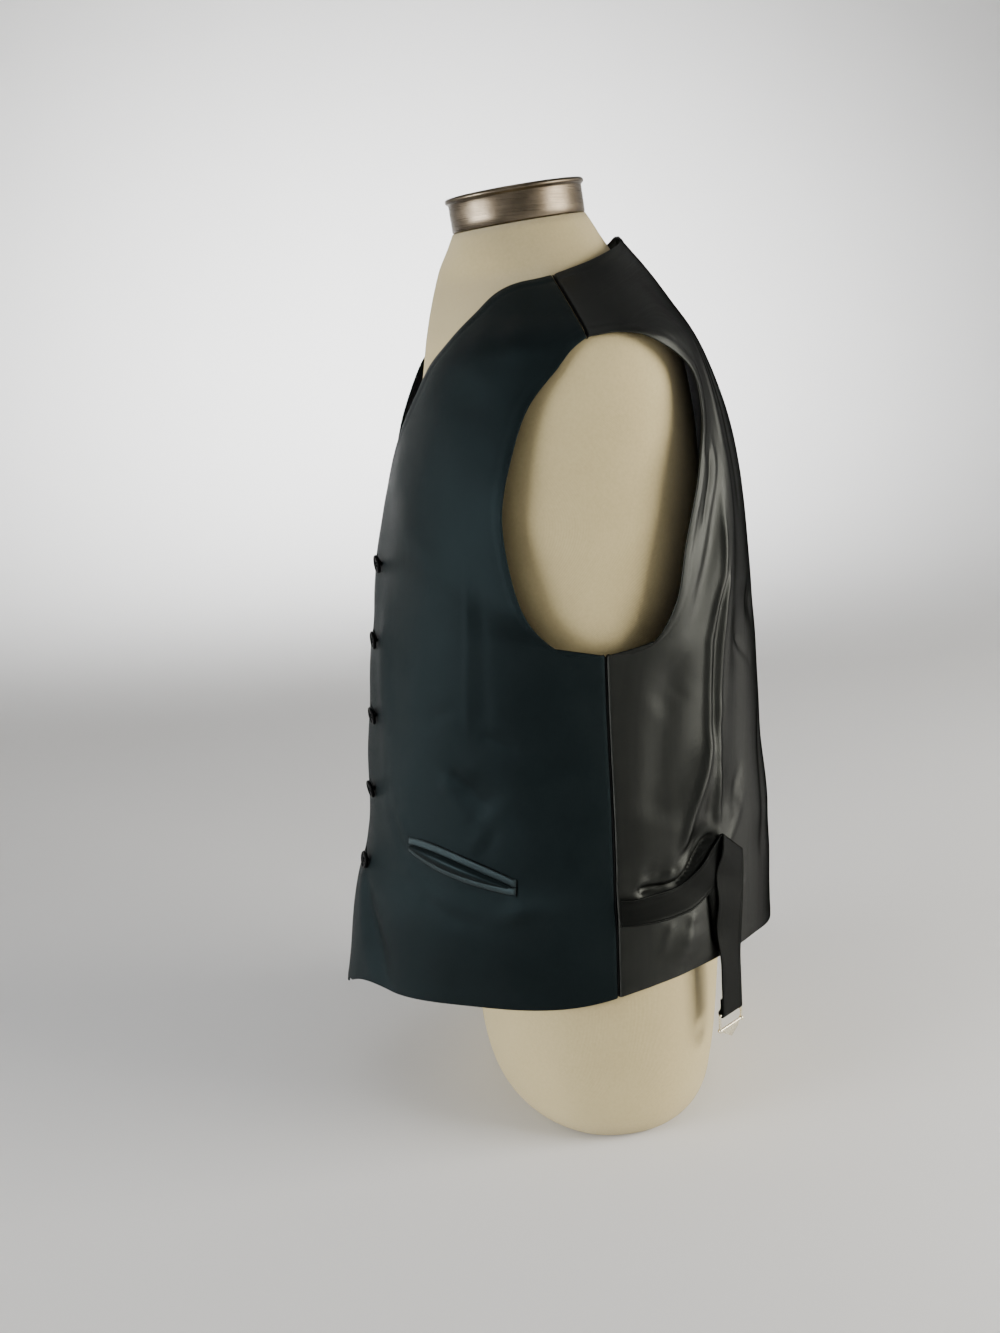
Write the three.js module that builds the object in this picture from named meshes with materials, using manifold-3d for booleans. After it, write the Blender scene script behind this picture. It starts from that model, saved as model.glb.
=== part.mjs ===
// A suit waistcoat on a limbless dress form, in millimetres, +Z up.
// The origin is on the floor under the form. +X is the wearer's left and -Y is the front.
// The cloth follows level sections through the worn waistcoat: an angle of 0 is the centre front,
// 90 the wearer's left side and 180 the centre back.

import * as THREE from 'three';
import { mergeVertices } from 'three/addons/utils/BufferGeometryUtils.js';
import Module from 'manifold-3d';

const clothWall = 2;
const seamGap = 0.3;
const layGap = 0.35;
const degree = Math.PI / 180;

// Grid of one panel: columns from its centre edge to its side edge, and steps between two table rows.
const panelColumns = 13;
const stepsPerRow = 2;

// The worn waistcoat: depth at the front and back, half width, where the side lies,
// and how round (2), pointed (below 2) or square (above 2) each half of the section is.
const wornSections = [
  { height: 70, front: -213, back: 161, halfWidth: 170, sideY: 2, frontPower: 1.7, backPower: 1.7 },
  { height: 90, front: -209, back: 161, halfWidth: 170, sideY: 2, frontPower: 1.7, backPower: 1.7 },
  { height: 120, front: -203, back: 161, halfWidth: 171, sideY: 2, frontPower: 1.7, backPower: 1.7 },
  { height: 160, front: -197, back: 160, halfWidth: 171, sideY: 3, frontPower: 1.75, backPower: 1.8 },
  { height: 190, front: -190, back: 160, halfWidth: 170, sideY: 4, frontPower: 1.8, backPower: 1.85 },
  { height: 214, front: -181, back: 159, halfWidth: 169, sideY: 4, frontPower: 1.8, backPower: 1.9 },
  { height: 240, front: -175, back: 158, halfWidth: 168, sideY: 5, frontPower: 1.85, backPower: 2 },
  { height: 290, front: -170, back: 153, halfWidth: 165, sideY: 6, frontPower: 1.9, backPower: 2.1 },
  { height: 330, front: -164, back: 151, halfWidth: 166, sideY: 6, frontPower: 1.95, backPower: 2.2 },
  { height: 370, front: -160, back: 148.5, halfWidth: 169, sideY: 6, frontPower: 2, backPower: 2.3 },
  { height: 410, front: -152, back: 145.5, halfWidth: 174, sideY: 6, frontPower: 2.05, backPower: 2.4 },
  { height: 450, front: -147, back: 142, halfWidth: 178, sideY: 6, frontPower: 2.1, backPower: 2.5 },
  { height: 485, front: -142, back: 139, halfWidth: 178, sideY: 6, frontPower: 2.1, backPower: 2.6 },
  { height: 517, front: -136, back: 135, halfWidth: 177, sideY: 6, frontPower: 2.1, backPower: 2.7 },
  { height: 546, front: -129, back: 130, halfWidth: 171, sideY: 7, frontPower: 2.1, backPower: 2.7 },
  { height: 575, front: -120, back: 122, halfWidth: 164, sideY: 8, frontPower: 2.1, backPower: 2.7 },
  { height: 604, front: -109, back: 111, halfWidth: 158, sideY: 8, frontPower: 2.1, backPower: 2.7 },
  { height: 622, front: -97, back: 102, halfWidth: 153, sideY: 8, frontPower: 2.1, backPower: 2.6 },
  { height: 640, front: -84, back: 92, halfWidth: 129, sideY: 3, frontPower: 2, backPower: 2.4 },
  { height: 655, front: -74, back: 84, halfWidth: 106, sideY: -2, frontPower: 2, backPower: 2.2 },
  { height: 668, front: -66, back: 76, halfWidth: 85, sideY: -6, frontPower: 2, backPower: 2.1 },
  { height: 680, front: -60, back: 67, halfWidth: 76, sideY: -8, frontPower: 2, backPower: 2 },
  { height: 694, front: -56, back: 56, halfWidth: 68, sideY: -8, frontPower: 2, backPower: 2 },
];

// The front, row by row from hem to shoulder seam. The centre edge is the closing edge and then the
// neckline, given across from the middle. The side edge is the side seam and then the armhole,
// given by its depth, and seam means the side line of the section.
const closingEdge = -4;
const breakHeight = 517;
const frontRows = [
  { edgeHeight: 87, edgeAcross: closingEdge, sideHeight: 131, sideDepth: 'seam' },
  { edgeHeight: 120, edgeAcross: closingEdge, sideHeight: 156, sideDepth: 'seam' },
  { edgeHeight: 164, edgeAcross: closingEdge, sideHeight: 190, sideDepth: 'seam' },
  { edgeHeight: 203, edgeAcross: closingEdge, sideHeight: 222, sideDepth: 'seam' },
  { edgeHeight: 240, edgeAcross: closingEdge, sideHeight: 253, sideDepth: 'seam' },
  { edgeHeight: 280, edgeAcross: closingEdge, sideHeight: 284, sideDepth: 'seam' },
  { edgeHeight: 322, edgeAcross: closingEdge, sideHeight: 316, sideDepth: 'seam' },
  { edgeHeight: 364, edgeAcross: closingEdge, sideHeight: 348, sideDepth: 'seam' },
  { edgeHeight: 406, edgeAcross: closingEdge, sideHeight: 376, sideDepth: 'seam' },
  { edgeHeight: 446, edgeAcross: closingEdge, sideHeight: 397, sideDepth: 'seam' },
  { edgeHeight: 457, edgeAcross: closingEdge, sideHeight: 397.6, sideDepth: -9 },
  { edgeHeight: 486, edgeAcross: closingEdge, sideHeight: 404, sideDepth: -28 },
  { edgeHeight: breakHeight, edgeAcross: closingEdge, sideHeight: 425, sideDepth: -47.5 },
  { edgeHeight: 540, edgeAcross: 15, sideHeight: 458, sideDepth: -57.5 },
  { edgeHeight: 564, edgeAcross: 36, sideHeight: 502, sideDepth: -60.8 },
  { edgeHeight: 590, edgeAcross: 54, sideHeight: 544, sideDepth: -50.5 },
  { edgeHeight: 616, edgeAcross: 69, sideHeight: 577, sideDepth: -36 },
  { edgeHeight: 642, edgeAcross: 79, sideHeight: 602, sideDepth: -14 },
  { edgeHeight: 658, edgeAcross: 83, sideHeight: 614, sideDepth: -3 },
  { edgeHeight: 666, edgeAcross: 'seam', sideHeight: 622, sideDepth: 'seam' },
];

// The right front runs on past the middle, under the left one, as far as this. Its edge is lower
// at the top and higher at the hem, and follows the left one's heights up to where it slides down.
const underlap = { edge: -30, top: 503, hem: 103, slideFrom: 430 };

// The back, row by row from hem to shoulder seam. The centre edge is the centre back seam and then
// the back neckline, given across from the middle.
const backRows = [
  { edgeHeight: 118, edgeAcross: 0, sideHeight: 131, sideDepth: 'seam' },
  { edgeHeight: 148, edgeAcross: 0, sideHeight: 156, sideDepth: 'seam' },
  { edgeHeight: 185, edgeAcross: 0, sideHeight: 190, sideDepth: 'seam' },
  { edgeHeight: 222, edgeAcross: 0, sideHeight: 222, sideDepth: 'seam' },
  { edgeHeight: 258, edgeAcross: 0, sideHeight: 253, sideDepth: 'seam' },
  { edgeHeight: 295, edgeAcross: 0, sideHeight: 284, sideDepth: 'seam' },
  { edgeHeight: 333, edgeAcross: 0, sideHeight: 316, sideDepth: 'seam' },
  { edgeHeight: 372, edgeAcross: 0, sideHeight: 348, sideDepth: 'seam' },
  { edgeHeight: 411, edgeAcross: 0, sideHeight: 376, sideDepth: 'seam' },
  { edgeHeight: 449, edgeAcross: 0, sideHeight: 397, sideDepth: 'seam' },
  { edgeHeight: 460, edgeAcross: 0, sideHeight: 397.6, sideDepth: 21 },
  { edgeHeight: 489, edgeAcross: 0, sideHeight: 406, sideDepth: 43 },
  { edgeHeight: 524, edgeAcross: 0, sideHeight: 435, sideDepth: 60.5 },
  { edgeHeight: 560, edgeAcross: 0, sideHeight: 480, sideDepth: 70 },
  { edgeHeight: 594, edgeAcross: 0, sideHeight: 528, sideDepth: 83 },
  { edgeHeight: 628, edgeAcross: 0, sideHeight: 564, sideDepth: 90 },
  { edgeHeight: 660, edgeAcross: 0, sideHeight: 594, sideDepth: 84 },
  { edgeHeight: 691, edgeAcross: 0, sideHeight: 617, sideDepth: 55 },
  { edgeHeight: 684, edgeAcross: 44, sideHeight: 623, sideDepth: 32 },
  { edgeHeight: 666, edgeAcross: 'seam', sideHeight: 622, sideDepth: 'seam' },
];

// How far the hem lies above a straight line from its centre edge to the side seam.
const frontHem = [
  { along: 0, lift: 0 },
  { along: 0.12, lift: 7 },
  { along: 0.25, lift: 11 },
  { along: 0.38, lift: 7 },
  { along: 0.6, lift: 4 },
  { along: 0.83, lift: -1 },
  { along: 1, lift: 0 },
];
const underlapHem = [
  { along: 0, lift: 0 },
  { along: 0.128, lift: -16 },
  { along: 0.2, lift: -11 },
  { along: 0.33, lift: -4 },
  { along: 0.456, lift: -5 },
  { along: 0.65, lift: -3 },
  { along: 0.854, lift: -2 },
  { along: 1, lift: 0 },
];
const backHem = [
  { along: 0, lift: 0 },
  { along: 0.2, lift: 5 },
  { along: 0.42, lift: 14 },
  { along: 0.7, lift: 12 },
  { along: 0.9, lift: 5 },
  { along: 1, lift: 0 },
];
const hemFade = 0.3;

// The largest folds: soft ridges (rise above 0) and troughs (below 0) between two places on the cloth.
// Side 1 is the wearer's left, -1 the right and 0 the middle.
const wornFolds = [
  { side: 1, angleA: 0, heightA: 480, angleB: 0, heightB: 230, width: 22, rise: 4 },
  { side: 1, angleA: 0, heightA: 492, angleB: 0, heightB: 390, width: 18, rise: 3.5 },
  { side: 1, angleA: 133, heightA: 520, angleB: 125, heightB: 350, width: 15, rise: 4 },
  { side: 1, angleA: 124, heightA: 335, angleB: 112, heightB: 256, width: 14, rise: 5 },
  { side: 1, angleA: 124, heightA: 306, angleB: 124, heightB: 262, width: 12, rise: 3 },
  { side: 1, angleA: 138, heightA: 590, angleB: 117, heightB: 450, width: 14, rise: -3 },
  { side: 1, angleA: 126, heightA: 252, angleB: 136, heightB: 262, width: 12, rise: 3 },
  { side: 1, angleA: 97, heightA: 222, angleB: 108, heightB: 222, width: 12, rise: -4 },
  { side: 1, angleA: 110, heightA: 224, angleB: 121, heightB: 254, width: 11, rise: -6 },
  { side: 1, angleA: 112, heightA: 373, angleB: 100, heightB: 352, width: 14, rise: -5 },
  { side: 1, angleA: 144, heightA: 420, angleB: 158, heightB: 404, width: 14, rise: -3 },
  { side: 1, angleA: 115, heightA: 180, angleB: 111, heightB: 145, width: 12, rise: 3 },
  { side: 1, angleA: 50, heightA: 305, angleB: 60, heightB: 274, width: 15, rise: -3 },
  { side: 1, angleA: 14, heightA: 185, angleB: 28, heightB: 115, width: 14, rise: -5 },
  { side: 1, angleA: 64, heightA: 210, angleB: 67, heightB: 190, width: 12, rise: 3 },
  { side: 1, angleA: 8, heightA: 470, angleB: 25, heightB: 250, width: 16, rise: 2.5 },
  { side: -1, angleA: 140, heightA: 505, angleB: 128, heightB: 350, width: 16, rise: 4 },
  { side: -1, angleA: 128, heightA: 330, angleB: 116, heightB: 258, width: 15, rise: 4 },
  { side: -1, angleA: 142, heightA: 570, angleB: 120, heightB: 440, width: 14, rise: -3 },
  { side: -1, angleA: 98, heightA: 222, angleB: 110, heightB: 226, width: 12, rise: -4 },
  { side: -1, angleA: 112, heightA: 228, angleB: 121, heightB: 252, width: 11, rise: -4 },
  { side: -1, angleA: 52, heightA: 300, angleB: 40, heightB: 280, width: 15, rise: -3 },
  { side: -1, angleA: 16, heightA: 200, angleB: 26, heightB: 118, width: 14, rise: -4 },
];

function smoothTable(rows, key) {
  const columns = Object.keys(rows[0]).filter((name) => name !== key);
  return (at) => {
    const last = rows.length - 2;
    let i = 0;
    while (i < last && at > rows[i + 1][key]) i += 1;
    const span = rows[i + 1][key] - rows[i][key];
    const t = THREE.MathUtils.clamp((at - rows[i][key]) / span, 0, 1);
    const result = {};
    for (const name of columns) {
      const slope = (j) => {
        const low = rows[Math.max(j - 1, 0)];
        const high = rows[Math.min(j + 1, rows.length - 1)];
        return (high[name] - low[name]) / (high[key] - low[key]);
      };
      const a = rows[i][name];
      const b = rows[i + 1][name];
      const rise = b - a;
      const startSlope = slope(i) * span;
      const endSlope = slope(i + 1) * span;
      const cubic = startSlope + endSlope - 2 * rise;
      const square = 3 * rise - 2 * startSlope - endSlope;
      result[name] = a + t * (startSlope + t * (square + t * cubic));
    }
    return result;
  };
}

const wornSection = smoothTable(wornSections, 'height');

function levelPoint(section, angle, height) {
  const turn = angle * degree;
  const facesFront = Math.abs(angle) <= 90;
  const power = 2 / (facesFront ? section.frontPower : section.backPower);
  const reach = facesFront ? section.front : section.back;
  const across = Math.abs(Math.sin(turn)) ** power * Math.sign(turn);
  const along = Math.abs(Math.cos(turn)) ** power;
  const x = section.halfWidth * across;
  const y = section.sideY + (reach - section.sideY) * along;
  return new THREE.Vector3(x, y, height);
}

function angleAcross(across, height, isBack) {
  const section = wornSection(height);
  const power = isBack ? section.backPower : section.frontPower;
  const sine = Math.min(Math.abs(across) / section.halfWidth, 1) ** (power / 2);
  const turn = Math.sign(across) * Math.asin(sine) / degree;
  return isBack ? 180 - turn : turn;
}

function angleDeep(depth, height, isBack) {
  const section = wornSection(height);
  const power = isBack ? section.backPower : section.frontPower;
  const reach = isBack ? section.back : section.front;
  const cosine = Math.max((depth - section.sideY) / (reach - section.sideY), 0) ** (power / 2);
  const turn = Math.acos(Math.min(cosine, 1)) / degree;
  return isBack ? 180 - turn : turn;
}

// The seams run along the side line of the sections and the middle of the back, with a gap of their own.
function sideSeam(height, isBack) {
  const { sideY } = wornSection(height);
  return angleDeep(sideY + (isBack ? 0.5 : -0.5) * seamGap, height, isBack);
}

const arcPerDegree = 2.7;

function foldRelief(angle, height, folds) {
  let relief = 0;
  for (const fold of folds) {
    const ax = fold.angleA * fold.side * arcPerDegree;
    const bx = fold.angleB * fold.side * arcPerDegree;
    const px = angle * arcPerDegree - ax;
    const py = height - fold.heightA;
    const dx = bx - ax;
    const dy = fold.heightB - fold.heightA;
    const length = Math.hypot(dx, dy);
    const along = (px * dx + py * dy) / length;
    const aside = (px * dy - py * dx) / length;
    const past = Math.max(-along, along - length, 0);
    relief += fold.rise * Math.exp(-(aside ** 2 + past ** 2) / fold.width ** 2);
  }
  return relief;
}

function barePoint(angle, height) {
  return levelPoint(wornSection(height), angle, height);
}

function outward(surface, angle, height) {
  const angleStep = 0.6;
  const heightStep = 1.5;
  const along = surface(angle + angleStep, height).sub(surface(angle - angleStep, height));
  const upward = surface(angle, height + heightStep).sub(surface(angle, height - heightStep));
  return along.cross(upward).normalize();
}

function foldedPoint(angle, height) {
  const point = barePoint(angle, height);
  const relief = foldRelief(angle, height, wornFolds);
  return point.addScaledVector(outward(barePoint, angle, height), relief);
}

// A point on the worn cloth, moved out from its outer face, or in where the distance is below 0.
function clothPoint(angle, height, distance = 0) {
  const normal = outward(foldedPoint, angle, height);
  return foldedPoint(angle, height).addScaledVector(normal, distance);
}

function closedWall(outer, inner) {
  const rows = outer.length;
  const columns = outer[0].length;
  const positions = [...outer.flat(), ...inner.flat()].flatMap((p) => [p.x, p.y, p.z]);
  const index = [];
  const at = (layer, row, column) => layer * rows * columns + row * columns + column;
  const quad = (a, b, c, d) => index.push(a, b, c, a, c, d);
  for (let r = 0; r < rows - 1; r += 1) {
    for (let c = 0; c < columns - 1; c += 1) {
      quad(at(0, r, c), at(0, r, c + 1), at(0, r + 1, c + 1), at(0, r + 1, c));
      quad(at(1, r, c), at(1, r + 1, c), at(1, r + 1, c + 1), at(1, r, c + 1));
    }
  }
  for (let c = 0; c < columns - 1; c += 1) {
    quad(at(0, 0, c), at(1, 0, c), at(1, 0, c + 1), at(0, 0, c + 1));
    quad(at(0, rows - 1, c), at(0, rows - 1, c + 1), at(1, rows - 1, c + 1), at(1, rows - 1, c));
  }
  for (let r = 0; r < rows - 1; r += 1) {
    quad(at(0, r, 0), at(0, r + 1, 0), at(1, r + 1, 0), at(1, r, 0));
    quad(at(0, r, columns - 1), at(1, r, columns - 1), at(1, r + 1, columns - 1), at(0, r + 1, columns - 1));
  }
  return faceOut(positions, index);
}

function faceOut(positions, index) {
  const corner = (i) => new THREE.Vector3().fromArray(positions, 3 * i);
  let volume = 0;
  for (let i = 0; i < index.length; i += 3) {
    const [a, b, c] = [corner(index[i]), corner(index[i + 1]), corner(index[i + 2])];
    volume += a.dot(b.cross(c));
  }
  if (volume < 0) index.reverse();
  const geometry = new THREE.BufferGeometry();
  geometry.setAttribute('position', new THREE.Float32BufferAttribute(positions, 3));
  geometry.setIndex(index);
  geometry.computeVertexNormals();
  return geometry;
}

// The rows of a panel as angles, smoothed between the rows of its table.
function panelRows(table, isBack) {
  const rows = table.map((row, step) => ({
    step,
    edgeHeight: row.edgeHeight,
    edgeAngle: row.edgeAcross === 'seam'
      ? sideSeam(row.edgeHeight, isBack)
      : angleAcross(row.edgeAcross, row.edgeHeight, isBack),
    sideHeight: row.sideHeight,
    sideAngle: row.sideDepth === 'seam'
      ? sideSeam(row.sideHeight, isBack)
      : angleDeep(row.sideDepth, row.sideHeight, isBack),
  }));
  const smooth = smoothTable(rows, 'step');
  const last = rows.length - 1;
  const count = last * stepsPerRow;
  return Array.from({ length: count + 1 }, (_, i) => ({ upward: i / count, ...smooth(i * last / count) }));
}

// A panel's places as angle and height, held back from its seams by half a gap.
function panelGrid(table, hem, isBack, side) {
  const hemLift = smoothTable(hem, 'along');
  return panelRows(table, isBack).map((row) => {
    const fade = Math.max(1 - row.upward / hemFade, 0) ** 2;
    return Array.from({ length: panelColumns + 1 }, (_, column) => {
      const along = column / panelColumns;
      const level = THREE.MathUtils.lerp(row.edgeHeight, row.sideHeight, along);
      const height = level + fade * hemLift(along).lift;
      const seam = sideSeam(height, isBack);
      const low = isBack ? seam : -180;
      const high = isBack ? angleAcross(0.5 * seamGap, height, true) : seam;
      const angle = THREE.MathUtils.lerp(row.edgeAngle, row.sideAngle, along);
      return { angle: side * THREE.MathUtils.clamp(angle, low, high), height, along };
    });
  });
}

// A panel between two distances from its outer face. sink moves places of it inwards.
function panelWall(grid, outer = 0, inner = -clothWall, sink = () => 0) {
  const layer = (distance) => grid.map((row) => row.map((place) =>
    clothPoint(place.angle, place.height, distance - sink(place))));
  return closedWall(layer(outer), layer(inner));
}

// The under front sinks below the upper one where they lap.
const lapFrom = -16;
const lapTo = -3.5;
function lapSink(place) {
  return (clothWall + layGap) * THREE.MathUtils.smoothstep(place.angle, lapFrom, lapTo);
}

function underlapRows() {
  return frontRows.map((row, step) => {
    if (row.edgeAcross !== closingEdge) return row;
    const slide = row.edgeHeight > underlap.slideFrom ? underlap.top / breakHeight : 1;
    const edgeHeight = step === 0 ? underlap.hem : row.edgeHeight * slide;
    return { ...row, edgeAcross: underlap.edge, edgeHeight };
  });
}

// Manifold only joins and cuts closed pieces here.
const wasm = await Module();
wasm.setup();

function toSolid(geometry) {
  const bare = geometry.clone();
  bare.deleteAttribute('normal');
  bare.deleteAttribute('uv');
  const merged = mergeVertices(bare, 1e-4);
  return new wasm.Manifold(new wasm.Mesh({
    numProp: 3,
    vertProperties: new Float32Array(merged.attributes.position.array),
    triVerts: new Uint32Array(merged.index.array),
  }));
}

function toGeometry(solid) {
  const mesh = solid.getMesh();
  const geometry = new THREE.BufferGeometry();
  geometry.setAttribute('position', new THREE.Float32BufferAttribute(mesh.vertProperties, 3));
  geometry.setIndex(Array.from(mesh.triVerts));
  geometry.computeVertexNormals();
  return geometry;
}

// The pocket mouth runs from its front end down to its side end, between two narrow jets.
// It gapes most near the middle. Angles and heights are places on the worn cloth.
const pocket = {
  frontAngle: 33, sideAngle: 63.5, frontHeight: 239, sideHeight: 220.5,
  steps: 10, jetHeight: 6, jetWall: 1.5, jetGap: 0.15, peak: 0.42, bagWall: 1.2,
  bagFrontAngle: 30, bagSideAngle: 67, bagTop: 14, bagDrop: 42,
};

function mouthLine(t, gape) {
  const { frontAngle, sideAngle, frontHeight, sideHeight, peak } = pocket;
  const spread = t < peak ? t / peak : (1 - t) / (1 - peak);
  const bow = gape * Math.sin(0.5 * Math.PI * spread) ** 0.8;
  const middle = THREE.MathUtils.lerp(frontHeight, sideHeight, t);
  return {
    angle: THREE.MathUtils.lerp(frontAngle, sideAngle, t),
    low: middle - 0.35 * bow - pocket.jetGap,
    high: middle + 0.65 * bow + pocket.jetGap,
  };
}

// What lies on a panel, or under it, keeps clear of that panel's own faces.
const lapMargin = 6;

function clearOutside(geometry, grid) {
  return toSolid(geometry).subtract(toSolid(panelWall(grid, seamGap, -clothWall - lapMargin)));
}

function clearInside(geometry, grid, sink) {
  return toSolid(geometry).subtract(toSolid(panelWall(grid, lapMargin, -clothWall - seamGap, sink)));
}

function bandOnCloth(lines, side, from, to) {
  const layer = (distance) => lines.map((line) => [0, 0.5, 1].map((t) =>
    clothPoint(side * line.angle, THREE.MathUtils.lerp(line.bottom, line.top, t), distance)));
  return closedWall(layer(to), layer(from));
}

function pocketJet(side, gape, upper) {
  const reach = 0.03;
  const lines = Array.from({ length: pocket.steps + 1 }, (_, i) => {
    const t = THREE.MathUtils.lerp(-reach, 1 + reach, i / pocket.steps);
    const mouth = mouthLine(THREE.MathUtils.clamp(t, 0, 1), gape);
    const angle = THREE.MathUtils.lerp(pocket.frontAngle, pocket.sideAngle, t);
    return upper
      ? { angle, bottom: mouth.high, top: mouth.high + pocket.jetHeight }
      : { angle, bottom: mouth.low - pocket.jetHeight, top: mouth.low };
  });
  return bandOnCloth(lines, side, -0.5, layGap + pocket.jetWall);
}

function pocketSlit(side, gape) {
  const end = 0.04;
  const lines = Array.from({ length: pocket.steps + 1 }, (_, i) => {
    const mouth = mouthLine(THREE.MathUtils.lerp(end, 1 - end, i / pocket.steps), gape);
    return { angle: mouth.angle, bottom: mouth.low, top: mouth.high };
  });
  return bandOnCloth(lines, side, -clothWall - 2, 2);
}

function pocketBag(side) {
  const steps = 8;
  const lines = Array.from({ length: steps + 1 }, (_, i) => {
    const t = i / steps;
    const middle = THREE.MathUtils.lerp(pocket.frontHeight, pocket.sideHeight, t);
    const angle = THREE.MathUtils.lerp(pocket.bagFrontAngle, pocket.bagSideAngle, t);
    return { angle, bottom: middle - pocket.bagDrop, top: middle + pocket.bagTop };
  });
  const back = -clothWall - layGap;
  return bandOnCloth(lines, side, back - pocket.bagWall, back + 1);
}

const leftGape = 8.5;
const rightGape = 3;

function cutSlit(solid, side, gape) {
  return solid.subtract(toSolid(pocketSlit(side, gape)));
}

// Five buttons down the closing edge, on the left front.
const button = {
  radius: 7.5, height: 3, shank: 0.45, rim: 0.7, across: 24, top: 453, step: 61.7, count: 5, hang: 12 * degree,
};

function buttonGeometry() {
  const { radius, height, rim } = button;
  const profile = [
    [0, 0], [radius - 1.2, 0], [radius, 1], [radius, height - 0.8],
    [radius - 0.8, height], [radius - 2.2, height - rim], [0, height - rim],
  ];
  return new THREE.LatheGeometry(profile.map(([r, z]) => new THREE.Vector2(r, z)), 14);
}

// A button hangs on its thread: its lower edge lies near the cloth, and it faces down a little.
function hangOnCloth(mesh, angle, height) {
  const normal = outward(foldedPoint, angle, height);
  const level = new THREE.Vector3(0, 0, 1).cross(normal).normalize();
  mesh.position.copy(clothPoint(angle, height, button.shank + button.radius * Math.sin(button.hang)));
  mesh.quaternion.setFromUnitVectors(new THREE.Vector3(0, 1, 0), normal.applyAxisAngle(level, button.hang));
}

// A strap is a ribbon through stations, each a row of real points from its one edge to the other.
function ribbonWall(stations, thickness) {
  const middle = stations.map((row) => row[1]);
  const normals = stations.map((row, i) => {
    const before = middle[Math.max(i - 1, 0)];
    const after = middle[Math.min(i + 1, middle.length - 1)];
    return row[2].clone().sub(row[0]).cross(after.clone().sub(before)).normalize();
  });
  const layer = (half) => stations.map((row, i) =>
    row.map((point) => point.clone().addScaledVector(normals[i], half)));
  return closedWall(layer(thickness / 2), layer(-thickness / 2));
}

function straightRow(a, b) {
  return [a, a.clone().lerp(b, 0.5), b];
}

// The adjuster strap: its sewn part lies on the back, its end folds over and hangs past the hem.
// Each row gives the angle and height of its upper and lower edge.
const strap = { wall: 1.5, foldRadius: 1.15, endHeight: 93, turnSteps: 6 };
const strapSewn = [
  { upperAngle: 91.4, upperHeight: 211, lowerAngle: 91.4, lowerHeight: 189 },
  { upperAngle: 96, upperHeight: 210, lowerAngle: 97, lowerHeight: 188 },
  { upperAngle: 101.5, upperHeight: 210, lowerAngle: 103.5, lowerHeight: 188 },
  { upperAngle: 106, upperHeight: 210, lowerAngle: 109, lowerHeight: 188.5 },
  { upperAngle: 110, upperHeight: 213, lowerAngle: 115, lowerHeight: 192 },
  { upperAngle: 114, upperHeight: 219, lowerAngle: 120.5, lowerHeight: 199 },
  { upperAngle: 118.5, upperHeight: 229.5, lowerAngle: 126, lowerHeight: 208 },
  { upperAngle: 123.5, upperHeight: 243, lowerAngle: 133.5, lowerHeight: 222 },
];
const strapHang = [
  { leftAngle: 123.6, leftHeight: 230, rightAngle: 133.4, rightHeight: 210, out: 4.6 },
  { leftAngle: 123.8, leftHeight: 212, rightAngle: 133, rightHeight: 196, out: 5 },
  { leftAngle: 124, leftHeight: 190, rightAngle: 132.6, rightHeight: 180, out: 5.4 },
  { leftAngle: 124, leftHeight: 166, rightAngle: 132.2, rightHeight: 160, out: 5.8 },
  { leftAngle: 124, leftHeight: 140, rightAngle: 132, rightHeight: 138, out: 6.2 },
];
const buckle = { bar: 1, clear: 0.35, drop: 13, knob: 1.9, sideGap: 0.6, plateDrop: 10, plateWall: 1.4 };

function strapTurn(row, normal, away, radius, steps) {
  return Array.from({ length: steps - 1 }, (_, i) => {
    const turn = Math.PI * (i + 1) / steps;
    const shift = normal.clone().multiplyScalar(radius * (1 - Math.cos(turn)));
    shift.addScaledVector(away, radius * Math.sin(turn));
    return row.map((point) => point.clone().add(shift));
  });
}

function strapStations(side) {
  const lift = layGap + strap.wall / 2;
  const sewn = strapSewn.map((row) => [0, 0.5, 1].map((t) => clothPoint(
    side * THREE.MathUtils.lerp(row.upperAngle, row.lowerAngle, t),
    THREE.MathUtils.lerp(row.upperHeight, row.lowerHeight, t),
    lift,
  )));
  const fold = strapSewn[strapSewn.length - 1];
  const foldAngle = side * (fold.upperAngle + fold.lowerAngle) / 2;
  const normal = outward(foldedPoint, foldAngle, (fold.upperHeight + fold.lowerHeight) / 2);
  const foldRow = sewn[sewn.length - 1];
  const away = foldRow[2].clone().sub(foldRow[0]).cross(normal).normalize();
  if (away.z < 0) away.negate();
  const turn = strapTurn(foldRow, normal, away, strap.foldRadius, strap.turnSteps);
  const hang = strapHang.map((row) => straightRow(
    clothPoint(side * row.leftAngle, row.leftHeight, row.out),
    clothPoint(side * row.rightAngle, row.rightHeight, row.out),
  ));
  return { sewn, turn, hang };
}

// Below the hem the strap drops straight, level across.
function strapDrop(hang) {
  const last = hang[hang.length - 1];
  return [120, 106, strap.endHeight].map((height) => last.map((point) => point.clone().setZ(height)));
}

const leftStrap = strapStations(1);
const leftDrop = strapDrop(leftStrap.hang);
const strapEnd = leftDrop[leftDrop.length - 1];
const strapAcross = strapEnd[2].clone().sub(strapEnd[0]).normalize();
const strapOut = strapAcross.clone().cross(new THREE.Vector3(0, 0, 1)).normalize();
if (strapOut.y < 0) strapOut.negate();
const strapIn = strapOut.clone().negate();
const loopRadius = buckle.bar + buckle.clear + strap.wall / 2;
const loopTurn = strapTurn(strapEnd, strapIn, new THREE.Vector3(0, 0, -1), loopRadius, 8);
const barPoint = strapEnd[1].clone().addScaledVector(strapIn, loopRadius);

function loopTail() {
  const rows = [
    { height: 1.5, back: 2 * loopRadius },
    { height: 5, back: strap.wall + 0.7 },
    { height: 13, back: strap.wall + layGap },
  ];
  return rows.map(({ height, back }) => {
    const shift = strapIn.clone().multiplyScalar(back).add(new THREE.Vector3(0, 0, height));
    return strapEnd.map((point) => point.clone().add(shift));
  });
}

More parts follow.
